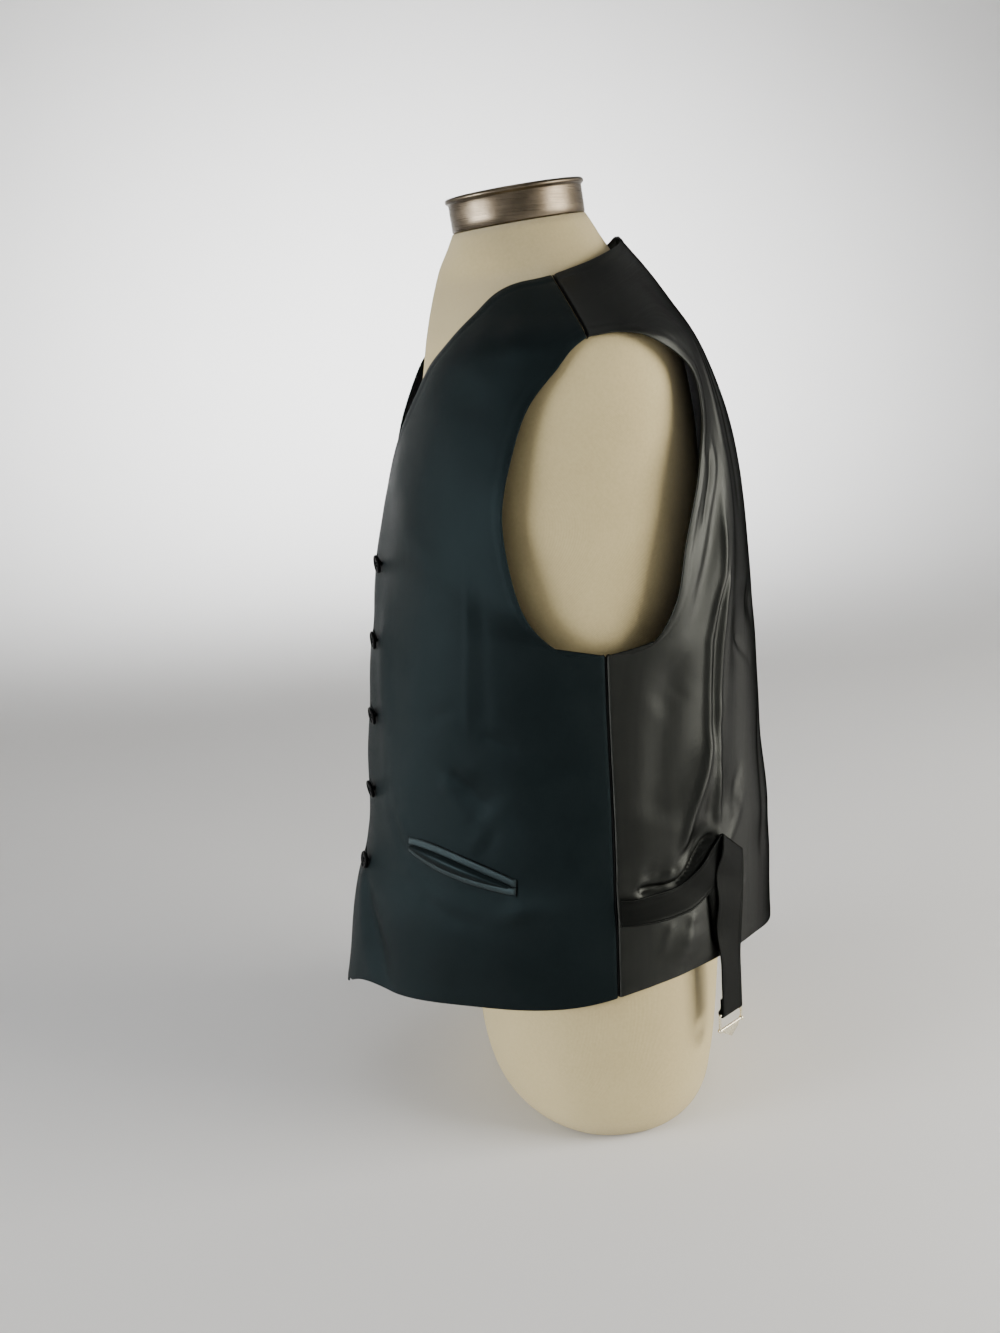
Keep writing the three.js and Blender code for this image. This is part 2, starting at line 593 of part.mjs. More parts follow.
function leftStrapWall() {
  const { sewn, turn, hang } = leftStrap;
  return ribbonWall([...sewn, ...turn, ...hang, ...leftDrop, ...loopTurn, ...loopTail()], strap.wall);
}

// The right strap has the same cut and a plain end, without the loop.
function rightStrapWall() {
  const { sewn, turn, hang } = strapStations(-1);
  return ribbonWall([...sewn, ...turn, ...hang, ...strapDrop(hang)], strap.wall);
}

// The buckle: a bar through the strap's loop, two posts, a lower bar with round ends and a
// pointed plate under it. It is drawn flat, with its bar along X, and set into the loop.
function rod(length, radius) {
  return new THREE.CylinderGeometry(radius, radius, length, 8);
}

function buckleSolid() {
  const half = strapEnd[0].distanceTo(strapEnd[2]) / 2 + buckle.sideGap + buckle.bar;
  const bars = [0, -buckle.drop].map((z) => rod(2 * half, buckle.bar).rotateZ(Math.PI / 2).translate(0, 0, z));
  const posts = [-half, half].map((x) =>
    rod(buckle.drop, buckle.bar).rotateX(Math.PI / 2).translate(x, 0, -buckle.drop / 2));
  const ends = [-half, half].map((x) => new THREE.SphereGeometry(buckle.bar * 1.02, 8, 6).translate(x, 0, 0));
  const knobs = [-half, half].map((x) =>
    new THREE.SphereGeometry(buckle.knob, 8, 6).translate(x, 0, -buckle.drop));
  const plate = new THREE.Shape([
    new THREE.Vector2(-half + 3, 0),
    new THREE.Vector2(half - 3, 0),
    new THREE.Vector2(half - 4, -3),
    new THREE.Vector2(0, -buckle.plateDrop),
    new THREE.Vector2(-half + 4, -3),
  ]);
  const plateBody = new THREE.ExtrudeGeometry(plate, { depth: buckle.plateWall, bevelEnabled: false });
  plateBody.translate(0, 0, -buckle.plateWall / 2).rotateX(Math.PI / 2).translate(0, 0, -buckle.drop);
  const [first, ...rest] = [...bars, ...posts, ...ends, ...knobs, plateBody].map(toSolid);
  return rest.reduce((sum, solid) => sum.add(solid), first);
}

// The form: level sections again, smooth and limbless, with a flat underside.
const formSections = [
  { height: 0, front: -66, back: 76, halfWidth: 139, sideY: 4, frontPower: 2.2, backPower: 2.2 },
  { height: 3, front: -76, back: 86, halfWidth: 149, sideY: 4, frontPower: 2.2, backPower: 2.2 },
  { height: 12, front: -86, back: 94, halfWidth: 157, sideY: 4, frontPower: 2.2, backPower: 2.2 },
  { height: 28, front: -92, back: 98, halfWidth: 161, sideY: 4, frontPower: 2.2, backPower: 2.2 },
  { height: 50, front: -95, back: 102, halfWidth: 162, sideY: 4, frontPower: 2.2, backPower: 2.2 },
  { height: 85, front: -96, back: 107, halfWidth: 163, sideY: 4, frontPower: 2.1, backPower: 2.1 },
  { height: 125, front: -97, back: 111, halfWidth: 163, sideY: 4, frontPower: 2, backPower: 2 },
  { height: 170, front: -97, back: 108, halfWidth: 161, sideY: 4, frontPower: 2, backPower: 2 },
  { height: 220, front: -95, back: 97, halfWidth: 153, sideY: 4, frontPower: 2, backPower: 2 },
  { height: 275, front: -94, back: 88, halfWidth: 145, sideY: 4, frontPower: 2, backPower: 2 },
  { height: 330, front: -98, back: 87, halfWidth: 146, sideY: 4, frontPower: 2, backPower: 2.1 },
  { height: 385, front: -107, back: 92, halfWidth: 154, sideY: 5, frontPower: 2, backPower: 2.1 },
  { height: 440, front: -114, back: 101, halfWidth: 161, sideY: 5, frontPower: 2, backPower: 2.2 },
  { height: 490, front: -115, back: 107, halfWidth: 164, sideY: 6, frontPower: 2, backPower: 2.2 },
  { height: 535, front: -111, back: 107, halfWidth: 160, sideY: 7, frontPower: 2, backPower: 2.2 },
  { height: 575, front: -106, back: 103, halfWidth: 156, sideY: 8, frontPower: 1.9, backPower: 2.2 },
  { height: 604, front: -101, back: 97, halfWidth: 153.5, sideY: 8, frontPower: 1.8, backPower: 2.2 },
  { height: 622, front: -98, back: 90, halfWidth: 147.5, sideY: 8, frontPower: 1.7, backPower: 2.2 },
  { height: 640, front: -94, back: 82, halfWidth: 123.5, sideY: 3, frontPower: 1.6, backPower: 2.1 },
  { height: 655, front: -90, back: 72, halfWidth: 100, sideY: -2, frontPower: 1.5, backPower: 2 },
  { height: 668, front: -86, back: 61, halfWidth: 79.5, sideY: -6, frontPower: 1.5, backPower: 2 },
  { height: 680, front: -82, back: 51, halfWidth: 69, sideY: -12, frontPower: 1.7, backPower: 2 },
  { height: 692, front: -77, back: 42, halfWidth: 60, sideY: -17, frontPower: 2, backPower: 2 },
  { height: 706, front: -71, back: 33, halfWidth: 52, sideY: -19, frontPower: 2, backPower: 2 },
];
const formColumns = 32;

// The neck's top is tilted, with the cap on it, and the sections lean over to it between these heights.
const capTilt = 5.4 * degree;
const leanFrom = 668;
const leanTo = 706;

function formGeometry() {
  const rings = formSections.map((section) => {
    const lean = Math.tan(capTilt) * THREE.MathUtils.smoothstep(section.height, leanFrom, leanTo);
    return Array.from({ length: formColumns }, (_, column) => {
      const point = levelPoint(section, -180 + 360 * (column + 0.5) / formColumns, section.height);
      point.z += lean * (point.y - section.sideY);
      return point;
    });
  });
  const positions = rings.flat().flatMap((p) => [p.x, p.y, p.z]);
  const index = [];
  const at = (ring, column) => ring * formColumns + column % formColumns;
  for (let ring = 0; ring < rings.length - 1; ring += 1) {
    for (let column = 0; column < formColumns; column += 1) {
      index.push(at(ring, column), at(ring, column + 1), at(ring + 1, column + 1));
      index.push(at(ring, column), at(ring + 1, column + 1), at(ring + 1, column));
    }
  }
  for (const [ring, flip] of [[0, true], [rings.length - 1, false]]) {
    const section = formSections[ring];
    const middle = rings[ring].reduce((sum, p) => sum.add(p), new THREE.Vector3()).divideScalar(formColumns);
    const centre = positions.length / 3;
    positions.push(0, section.sideY, middle.z);
    for (let column = 0; column < formColumns; column += 1) {
      const pair = [at(ring, column), at(ring, column + 1)];
      index.push(...(flip ? [pair[1], pair[0]] : pair), centre);
    }
  }
  return faceOut(positions, index);
}

const cap = { radius: 52, rim: 54, height: 26, y: -19, z: 706.4 };

function capGeometry() {
  const { radius, rim, height } = cap;
  const profile = [
    [0, 0], [radius - 1, 0], [radius, 1], [radius, height - 5], [rim, height - 3],
    [rim, height - 1], [rim - 1, height], [rim - 3, height], [rim - 4.5, height - 1.5], [0, height - 1.5],
  ];
  return new THREE.LatheGeometry(profile.map(([r, z]) => new THREE.Vector2(r, z)), 28);
}

const group = new THREE.Group();

const finishes = {
  frontCloth: { color: 0x14191b, roughness: 0.5, metalness: 0 },
  backCloth: { color: 0x161614, roughness: 0.38, metalness: 0 },
  jetCloth: { color: 0x1b2123, roughness: 0.42, metalness: 0 },
  pocketCloth: { color: 0x0a0c0d, roughness: 0.7, metalness: 0 },
  buttonHorn: { color: 0x0d0d0e, roughness: 0.35, metalness: 0 },
  buckleMetal: { color: 0xd8ccaa, roughness: 0.28, metalness: 1 },
  formJersey: { color: 0xd9cdb4, roughness: 0.85, metalness: 0 },
  brushedSteel: { color: 0xa8a29a, roughness: 0.35, metalness: 1 },
};

function add(name, geometry, finish, parent = group) {
  const mesh = new THREE.Mesh(geometry, new THREE.MeshStandardMaterial(finish));
  mesh.name = name;
  parent.add(mesh);
  return mesh;
}

const grids = {
  frontLeft: panelGrid(frontRows, frontHem, false, 1),
  frontRight: panelGrid(underlapRows(), underlapHem, false, -1),
  backLeft: panelGrid(backRows, backHem, true, 1),
  backRight: panelGrid(backRows, backHem, true, -1),
};

const leftFront = toSolid(panelWall(grids.frontLeft));
const rightFront = clearInside(panelWall(grids.frontRight, 0, -clothWall, lapSink), grids.frontLeft);
add('front_left', toGeometry(cutSlit(leftFront, 1, leftGape)), finishes.frontCloth);
add('front_right', toGeometry(cutSlit(rightFront, -1, rightGape)), finishes.frontCloth);
add('back_left', panelWall(grids.backLeft), finishes.backCloth);
add('back_right', panelWall(grids.backRight), finishes.backCloth);

for (const [name, side, gape, grid] of [
  ['left', 1, leftGape, grids.frontLeft],
  ['right', -1, rightGape, grids.frontRight],
]) {
  const jet = (upper) => toGeometry(clearOutside(pocketJet(side, gape, upper), grid));
  add(`jet_upper_${name}`, jet(true), finishes.jetCloth);
  add(`jet_lower_${name}`, jet(false), finishes.jetCloth);
  add(`pocket_bag_${name}`, toGeometry(clearInside(pocketBag(side), grid)), finishes.pocketCloth);
}

for (let i = 0; i < button.count; i += 1) {
  const height = button.top - i * button.step;
  const mesh = add(`button_${i + 1}`, buttonGeometry(), finishes.buttonHorn);
  hangOnCloth(mesh, angleAcross(button.across, height, false), height);
}

add('strap_left', toGeometry(clearOutside(leftStrapWall(), grids.backLeft)), finishes.backCloth);
add('strap_right', toGeometry(clearOutside(rightStrapWall(), grids.backRight)), finishes.backCloth);

const buckleGroup = new THREE.Group();
buckleGroup.position.copy(barPoint);
buckleGroup.rotation.z = Math.atan2(strapAcross.y, strapAcross.x);
group.add(buckleGroup);
add('buckle', toGeometry(buckleSolid()), finishes.buckleMetal, buckleGroup);

add('form_torso', formGeometry(), finishes.formJersey);
const capMesh = add('form_neck_cap', capGeometry(), finishes.brushedSteel);
capMesh.position.set(0, cap.y, cap.z);
capMesh.rotation.x = Math.PI / 2 + capTilt;

export default group;
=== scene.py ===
import math

import bpy
import bmesh
import numpy as np
from mathutils import Matrix, Vector


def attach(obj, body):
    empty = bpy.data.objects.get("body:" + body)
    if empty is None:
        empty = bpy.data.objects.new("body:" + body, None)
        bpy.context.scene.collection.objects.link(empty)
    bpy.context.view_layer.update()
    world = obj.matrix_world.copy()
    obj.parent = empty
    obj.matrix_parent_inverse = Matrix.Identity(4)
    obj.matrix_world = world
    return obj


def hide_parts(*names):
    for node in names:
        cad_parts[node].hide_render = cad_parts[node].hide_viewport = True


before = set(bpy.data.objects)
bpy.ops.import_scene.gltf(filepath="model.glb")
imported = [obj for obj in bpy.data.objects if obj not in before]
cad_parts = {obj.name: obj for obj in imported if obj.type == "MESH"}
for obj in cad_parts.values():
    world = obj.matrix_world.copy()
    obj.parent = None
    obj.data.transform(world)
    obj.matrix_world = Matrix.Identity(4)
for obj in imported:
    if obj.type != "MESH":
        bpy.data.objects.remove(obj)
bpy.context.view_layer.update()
garmentBody = 'waistcoat_on_form'
print('frame loaded')

# Camera, floor and lights.
shot = {'place': (1.206, -0.1425, 0.650), 'azimuth': 86.0, 'pitch': 13.7, 'roll': 4.1,
        'focalPixels': 1500.0, 'frameHeight': 1333.0}


def placeCamera():
    data = bpy.data.cameras.new('camera')
    data.sensor_width = 36.0
    data.lens = 36.0 * shot['focalPixels'] / shot['frameHeight']
    data.clip_start = 0.02
    camera = bpy.data.objects.new('camera', data)
    bpy.context.scene.collection.objects.link(camera)
    turn, pitch, roll = (math.radians(shot[name]) for name in ('azimuth', 'pitch', 'roll'))
    back = Vector((math.sin(turn), -math.cos(turn), 0))
    right = Vector((math.cos(turn), math.sin(turn), 0))
    forward = -back * math.cos(pitch) - Vector((0, 0, math.sin(pitch)))
    up = right.cross(forward)
    axisX = right * math.cos(roll) - up * math.sin(roll)
    axisY = right * math.sin(roll) + up * math.cos(roll)
    camera.matrix_world = Matrix.Translation(shot['place']) @ Matrix(
        (axisX, axisY, -forward)).transposed().to_4x4()
    bpy.context.scene.camera = camera


placeCamera()


# Node materials: a term is a value that flows between shader nodes.
class Term:
    def __init__(self, paint, socket):
        self.paint = paint
        self.socket = socket

    def math(self, operation, *others, clamp=False):
        settings = {'operation': operation, 'use_clamp': clamp}
        return self.paint.term('ShaderNodeMath', settings, [self, *others])

    def __add__(self, other):
        return self.math('ADD', other)

    def __sub__(self, other):
        return self.math('SUBTRACT', other)

    def __mul__(self, other):
        return self.math('MULTIPLY', other)

    def __truediv__(self, other):
        return self.math('DIVIDE', other)

    def __pow__(self, other):
        return self.math('POWER', other)

    def wave(self, pitch):
        return (self * (2 * math.pi / pitch)).math('SINE')

    def ramp(self, low, high, toLow=0.0, toHigh=1.0):
        return self.paint.term('ShaderNodeMapRange', {'interpolation_type': 'SMOOTHSTEP'},
                               [self, low, high, toLow, toHigh])


class Paint:
    def __init__(self, name, constants):
        self.material = bpy.data.materials.new(name)
        self.material.use_nodes = True
        self.tree = self.material.node_tree
        self.shader = self.tree.nodes['Principled BSDF']
        for key, value in constants.items():
            self.shader.inputs[key].default_value = value

    def node(self, kind, settings, inputs):
        made = self.tree.nodes.new(kind)
        for key, value in settings.items():
            setattr(made, key, value)
        pairs = inputs.items() if isinstance(inputs, dict) else enumerate(inputs)
        for key, value in pairs:
            if isinstance(value, Term):
                self.tree.links.new(value.socket, made.inputs[key])
            elif value is not None:
                made.inputs[key].default_value = value
        return made

    def term(self, kind, settings, inputs, output=0):
        return Term(self, self.node(kind, settings, inputs).outputs[output])

    def axes(self, vector):
        split = self.node('ShaderNodeSeparateXYZ', {}, [vector])
        return [Term(self, socket) for socket in split.outputs]

    def place(self):
        return self.term('ShaderNodeTexCoord', {}, [], 'Object')

    def clothPlace(self):
        return self.term('ShaderNodeUVMap', {'uv_map': 'cloth'}, [])

    def stretched(self, vector, scale):
        return self.term('ShaderNodeVectorMath', {'operation': 'MULTIPLY'}, [vector, scale])

    def noise(self, vector, scale, detail=2.0, roughness=0.5):
        inputs = {'Vector': vector, 'Scale': scale, 'Detail': detail, 'Roughness': roughness}
        return self.term('ShaderNodeTexNoise', {}, inputs, 'Fac')

    def blend(self, factor, low, high):
        inputs = {0: factor, 6: (*low, 1.0), 7: (*high, 1.0)}
        return self.term('ShaderNodeMix', {'data_type': 'RGBA'}, inputs, 2)

    def dullEdges(self, low, high, roughness):
        facing = self.term('ShaderNodeLayerWeight', {}, {'Blend': 0.5}, 'Facing')
        dull = self.node('ShaderNodeBsdfPrincipled', {}, {'Roughness': roughness, 'Specular IOR Level': 0.0})
        for name in ('Base Color', 'Normal'):
            self.tree.links.new(self.shader.inputs[name].links[0].from_socket, dull.inputs[name])
        glossy, matt = (Term(self, shader.outputs[0]) for shader in (self.shader, dull))
        mixed = self.node('ShaderNodeMixShader', {}, {0: facing.ramp(low, high), 1: glossy, 2: matt})
        self.tree.links.new(mixed.outputs[0], self.tree.nodes['Material Output'].inputs['Surface'])

    def feed(self, name, term):
        self.tree.links.new(term.socket, self.shader.inputs[name])

    def bump(self, height, depth):
        bumped = self.node('ShaderNodeBump', {}, {'Strength': 1.0, 'Distance': depth, 'Height': height})
        self.tree.links.new(bumped.outputs[0], self.shader.inputs['Normal'])


def suitingPaint(name, low, high, roughness, specular):
    paint = Paint(name, {'Specular IOR Level': specular, 'Specular Tint': (0.55, 0.90, 1.0, 1),
                         'Sheen Weight': 0.01, 'Sheen Roughness': 0.4, 'Sheen Tint': (0.62, 0.80, 0.84, 1)})
    weave = paint.clothPlace()
    across, along, _ = paint.axes(weave)
    twill = (across + along * 0.6).wave(0.00052)
    warp = across.wave(0.00026)
    slub = paint.noise(paint.stretched(weave, (900, 160, 1)), 1.0, 3)
    cloud = paint.noise(paint.place(), 17.0, 3)
    paint.feed('Base Color', paint.blend((slub * 0.35 + cloud * 0.65).ramp(0.3, 0.7), low, high))
    paint.feed('Roughness', cloud.ramp(0.3, 0.7, roughness - 0.04, roughness + 0.05))
    paint.bump(twill * 0.5 + warp * 0.2 + slub * 0.9, 0.00006)
    return paint.material


def satinPaint(name, low, high, roughness, specular):
    paint = Paint(name, {'Specular IOR Level': specular, 'Specular Tint': (0.95, 1.0, 0.92, 1), 'Sheen Weight': 0.0})
    weave = paint.clothPlace()
    across, along, _ = paint.axes(weave)
    floats = paint.noise(paint.stretched(weave, (2600, 260, 1)), 1.0, 2)
    streak = paint.noise(paint.stretched(weave, (260, 9, 1)), 1.0, 3)
    crinkle = paint.noise(paint.place(), 60.0, 4, 0.55)
    paint.feed('Base Color', paint.blend(streak.ramp(0.35, 0.65), low, high))
    paint.feed('Roughness', (streak * 0.5 + floats * 0.5).ramp(0.3, 0.7, roughness - 0.05, roughness + 0.06))
    paint.bump(floats * 0.35 + along.wave(0.0003) * 0.15 + streak * 0.3 + crinkle * 0.6, 0.0001)
    paint.dullEdges(0.33, 0.96, 0.6)
    return paint.material


def jerseyPaint():
    paint = Paint('jersey', {'Specular IOR Level': 0.25, 'Sheen Weight': 0.2, 'Sheen Roughness': 0.5})
    weave = paint.clothPlace()
    across, along, _ = paint.axes(weave)
    wales = across.wave(0.0011)
    loops = (along + across.wave(0.0011) * 0.0002).wave(0.0008)
    cloud = paint.noise(paint.place(), 9.0, 4)
    fleck = paint.noise(paint.place(), 420.0, 2)
    tone = cloud * 0.6 + fleck * 0.4
    paint.feed('Base Color', paint.blend(tone.ramp(0.3, 0.7), (0.44, 0.36, 0.185), (0.51, 0.425, 0.225)))
    paint.feed('Roughness', fleck.ramp(0.3, 0.7, 0.78, 0.9))
    paint.bump(wales * 0.5 + loops * 0.35 + fleck * 0.6, 0.00012)
    return paint.material


def steelPaint():
    paint = Paint('brushedSteel', {'Metallic': 1.0, 'Anisotropic': 0.6})
    place = paint.place()
    grain = paint.noise(paint.stretched(place, (18, 18, 2600)), 1.0, 3)
    cloud = paint.noise(place, 40.0, 3)
    paint.feed('Base Color', paint.blend(cloud.ramp(0.3, 0.7), (0.080, 0.064, 0.045), (0.135, 0.110, 0.080)))
    paint.feed('Roughness', grain.ramp(0.3, 0.7, 0.24, 0.38))
    paint.bump(grain, 0.00003)
    return paint.material


def goldPaint():
    paint = Paint('paleGold', {'Metallic': 1.0})
    scuff = paint.noise(paint.place(), 900.0, 3)
    paint.feed('Base Color', paint.blend(scuff.ramp(0.35, 0.7), (0.80, 0.72, 0.52), (0.88, 0.83, 0.68)))
    paint.feed('Roughness', scuff.ramp(0.3, 0.7, 0.18, 0.32))
    paint.bump(scuff, 0.00002)
    return paint.material


def hornPaint():
    paint = Paint('buttonHorn', {'Specular IOR Level': 0.06})
    swirl = paint.noise(paint.place(), 260.0, 4, 0.6)
    paint.feed('Base Color', paint.blend(swirl.ramp(0.35, 0.7), (0.0006, 0.0007, 0.0008), (0.0016, 0.0017, 0.0018)))
    paint.feed('Roughness', swirl.ramp(0.3, 0.7, 0.3, 0.42))
    paint.bump(swirl, 0.00002)
    return paint.material


def threadPaint(name, colour):
    paint = Paint(name, {'Specular IOR Level': 0.06})
    ply = paint.noise(paint.place(), 2600.0, 2)
    dark = tuple(0.6 * value for value in colour)
    paint.feed('Base Color', paint.blend(ply.ramp(0.3, 0.7), dark, colour))
    paint.feed('Roughness', ply.ramp(0.3, 0.7, 0.5, 0.68))
    paint.bump(ply, 0.00005)
    return paint.material


def stagePaint():
    paint = Paint('paleFloor', {'Specular IOR Level': 0.0})
    tone = paint.noise(paint.place(), 3.0, 2)
    paint.feed('Base Color', paint.blend(tone, (0.80, 0.80, 0.80), (0.83, 0.83, 0.83)))
    paint.feed('Roughness', tone.ramp(0.3, 0.7, 0.85, 0.92))
    return paint.material


paints = {
    'front': suitingPaint('frontSuiting', (0.0023, 0.0034, 0.0036), (0.0041, 0.0056, 0.0059), 0.46, 0.105),
    'back': satinPaint('backSatin', (0.0014, 0.0016, 0.0015), (0.0026, 0.0029, 0.0026), 0.35, 0.30),
    # The straps are the back satin with its reflection turned down to under a third of the back's: painted shade that
    # darkens the straps.
    'strap': satinPaint('strapSatinPaintedShade', (0.0014, 0.0017, 0.0017), (0.0026, 0.0030, 0.0029), 0.36, 0.085),
    # The jets are the front suiting with a colour painted about four times lighter and a stronger reflection: a painted
    # highlight along the jets.
    'jet': suitingPaint('jetSuitingPaintedHighlight', (0.0140, 0.0175, 0.0185), (0.0180, 0.0220, 0.0230), 0.42, 0.24),
    # The pocket bag's colour is painted about three times darker than the front cloth: painted shade inside the pocket
    # mouth.
    'pocket': suitingPaint('pocketClothPaintedShade', (0.0006, 0.0008, 0.0009), (0.0014, 0.0018, 0.0020), 0.5, 0.04),
    'jersey': jerseyPaint(),
    'steel': steelPaint(),
    'gold': goldPaint(),
    'horn': hornPaint(),
    'thread': threadPaint('blackThread', (0.002, 0.0024, 0.0026)),
}


def gridFaces(rows, columns, start=0, flip=False, closed=False):
    index = np.arange(rows * columns).reshape(rows, columns) + start
    if closed:
        index = np.concatenate([index, index[:, :1]], axis=1)
    a, b, c, d = index[:-1, :-1], index[:-1, 1:], index[1:, 1:], index[1:, :-1]
    faces = np.stack([a, b, c, d], axis=-1).reshape(-1, 4)
    return faces[:, ::-1] if flip else faces


def setStage():
    # A pale bowl: a flat floor that curves up into a round wall, with no edge behind the object.
    profile = [(0.0, 0.0), (1.2, 0.0), (2.2, 0.0)]
    profile += [(2.2 + 2.4 * math.sin(a), 2.4 * (1 - math.cos(a))) for a in np.linspace(0.08, math.pi / 2, 20)]
    profile.append((4.6, 5.0))
    columns = 96
    points = [(r * math.cos(2 * math.pi * c / columns), r * math.sin(2 * math.pi * c / columns), z)
              for r, z in profile[1:] for c in range(columns)]
    faces = gridFaces(len(profile) - 1, columns, flip=True, closed=True).tolist() + [list(range(columns))]
    floor = bpy.data.meshes.new('floor')
    floor.from_pydata(points, [], faces)
    floor.polygons.foreach_set('use_smooth', [True] * len(floor.polygons))
    floor.materials.append(stagePaint())
    floorObject = bpy.data.objects.new('floor', floor)
    bpy.context.scene.collection.objects.link(floorObject)
    world = bpy.data.worlds.new('studio')
    world.use_nodes = True
    world.node_tree.nodes['Background'].inputs['Color'].default_value = (1.0, 1.0, 1.0, 1)
    world.node_tree.nodes['Background'].inputs['Strength'].default_value = 0.22
    bpy.context.scene.world = world
    for lamp in lamps:
        data = bpy.data.lights.new(lamp['name'], 'AREA')
        data.shape = 'RECTANGLE'
        data.size, data.size_y = lamp['size']
        data.energy = lamp['power']
        data.spread = math.radians(lamp.get('spread', 180))
        data.color = lamp.get('colour', (1, 1, 1))
        made = bpy.data.objects.new(lamp['name'], data)
        made.location = lamp['place']
        aim = Vector(lamp['aim']) - Vector(lamp['place'])
        made.rotation_euler = aim.to_track_quat('-Z', 'Y').to_euler()
        bpy.context.scene.collection.objects.link(made)


lamps = [
    {'name': 'frontLight', 'place': (0.72, -2.2, 0.46), 'aim': (0.0, -0.05, 0.40), 'size': (1.4, 0.75), 'power': 10.5,
     'spread': 60},
    {'name': 'backLight', 'place': (0.76, 1.95, 0.75), 'aim': (0.1, 0.1, 0.45), 'size': (1.4, 1.0), 'power': 84,
     'colour': (1.0, 0.96, 0.88)},
    {'name': 'topLight', 'place': (0.5, -0.2, 2.6), 'aim': (0.0, 0.0, 0.3), 'size': (1.6, 1.6), 'power': 8},
    {'name': 'wallLight', 'place': (-1.2, 0.0, 2.4), 'aim': (-3.6, 0.0, 0.5), 'size': (1.6, 1.6), 'power': 80,
     'spread': 75},
]
setStage()
print('camera, stage and lights set')

# The worn cloth in millimetres: level sections, angle 0 at the centre front and 90 at the wearer's left.
clothWall = 1.8
seamGap = 0.3
layGap = 0.35
arcPerDegree = 2.7
wornSections = {
    'columns': 'height front back halfWidth sideY frontPower backPower',
    'rows': [
        (70, -213, 161, 170, 2, 1.7, 1.7),
        (90, -209, 161, 170, 2, 1.7, 1.7),
        (120, -203, 161, 171, 2, 1.7, 1.7),
        (160, -197, 160, 171, 3, 1.75, 1.8),
        (190, -190, 160, 170, 4, 1.8, 1.85),
        (214, -181, 159, 169, 4, 1.8, 1.9),
        (240, -175, 158, 168, 5, 1.85, 2),
        (290, -170, 153, 165, 6, 1.9, 2.1),
        (330, -164, 151, 166, 6, 1.95, 2.2),
        (370, -160, 148.5, 169, 6, 2, 2.3),
        (410, -152, 145.5, 174, 6, 2.05, 2.4),
        (450, -147, 142, 178, 6, 2.1, 2.5),
        (485, -142, 139, 178, 6, 2.1, 2.6),
        (517, -136, 135, 177, 6, 2.1, 2.7),
        (546, -129, 130, 171, 7, 2.1, 2.7),
        (575, -120, 122, 164, 8, 2.1, 2.7),
        (604, -109, 111, 158, 8, 2.1, 2.7),
        (622, -97, 102, 153, 8, 2.1, 2.6),
        (640, -84, 92, 129, 3, 2, 2.4),
        (655, -74, 84, 106, -2, 2, 2.2),
        (668, -66, 76, 85, -6, 2, 2.1),
        (680, -60, 67, 76, -8, 2, 2),
        (694, -56, 56, 68, -8, 2, 2),
    ],
}
seam = None
closingEdge = -4
underlap = {'edge': -30, 'top': 503, 'hem': 103, 'slideFrom': 430}
breakHeight = 517
frontRows = {
    'columns': 'edgeHeight edgeAcross sideHeight sideDepth',
    'rows': [
        (87, closingEdge, 131, seam),
        (120, closingEdge, 156, seam),
        (164, closingEdge, 190, seam),
        (203, closingEdge, 222, seam),
        (240, closingEdge, 253, seam),
        (280, closingEdge, 284, seam),
        (322, closingEdge, 316, seam),
        (364, closingEdge, 348, seam),
        (406, closingEdge, 376, seam),
        (446, closingEdge, 397, seam),
        (457, closingEdge, 397.6, -9),
        (486, closingEdge, 404, -28),
        (breakHeight, closingEdge, 425, -47.5),
        (540, 15, 458, -57.5),
        (564, 36, 502, -60.8),
        (590, 54, 544, -50.5),
        (616, 69, 577, -36),
        (642, 79, 602, -14),
        (658, 83, 614, -3),
        (666, seam, 622, seam),
    ],
}
backRows = {
    'columns': 'edgeHeight edgeAcross sideHeight sideDepth',
    'rows': [
        (118, 0, 131, seam),
        (148, 0, 156, seam),
        (185, 0, 190, seam),
        (222, 0, 222, seam),
        (258, 0, 253, seam),
        (295, 0, 284, seam),
        (333, 0, 316, seam),
        (372, 0, 348, seam),
        (411, 0, 376, seam),
        (449, 0, 397, seam),
        (460, 0, 397.6, 21),
        (489, 0, 406, 43),
        (524, 0, 435, 60.5),
        (560, 0, 480, 70),
        (594, 0, 528, 83),
        (628, 0, 564, 90),
        (660, 0, 594, 84),
        (691, 0, 617, 55),
        (684, 44, 623, 32),
        (666, seam, 622, seam),
    ],
}
hemLifts = {
    'front': [(0, 0), (0.12, 7), (0.25, 11), (0.38, 7), (0.6, 4), (0.83, -1), (1, 0)],
    'underlap': [(0, 0), (0.128, -16), (0.2, -11), (0.33, -4), (0.456, -5), (0.65, -3), (0.854, -2), (1, 0)],
    'back': [(0, 0), (0.2, 5), (0.42, 14), (0.7, 12), (0.9, 5), (1, 0)],
}
hemFade = 0.3

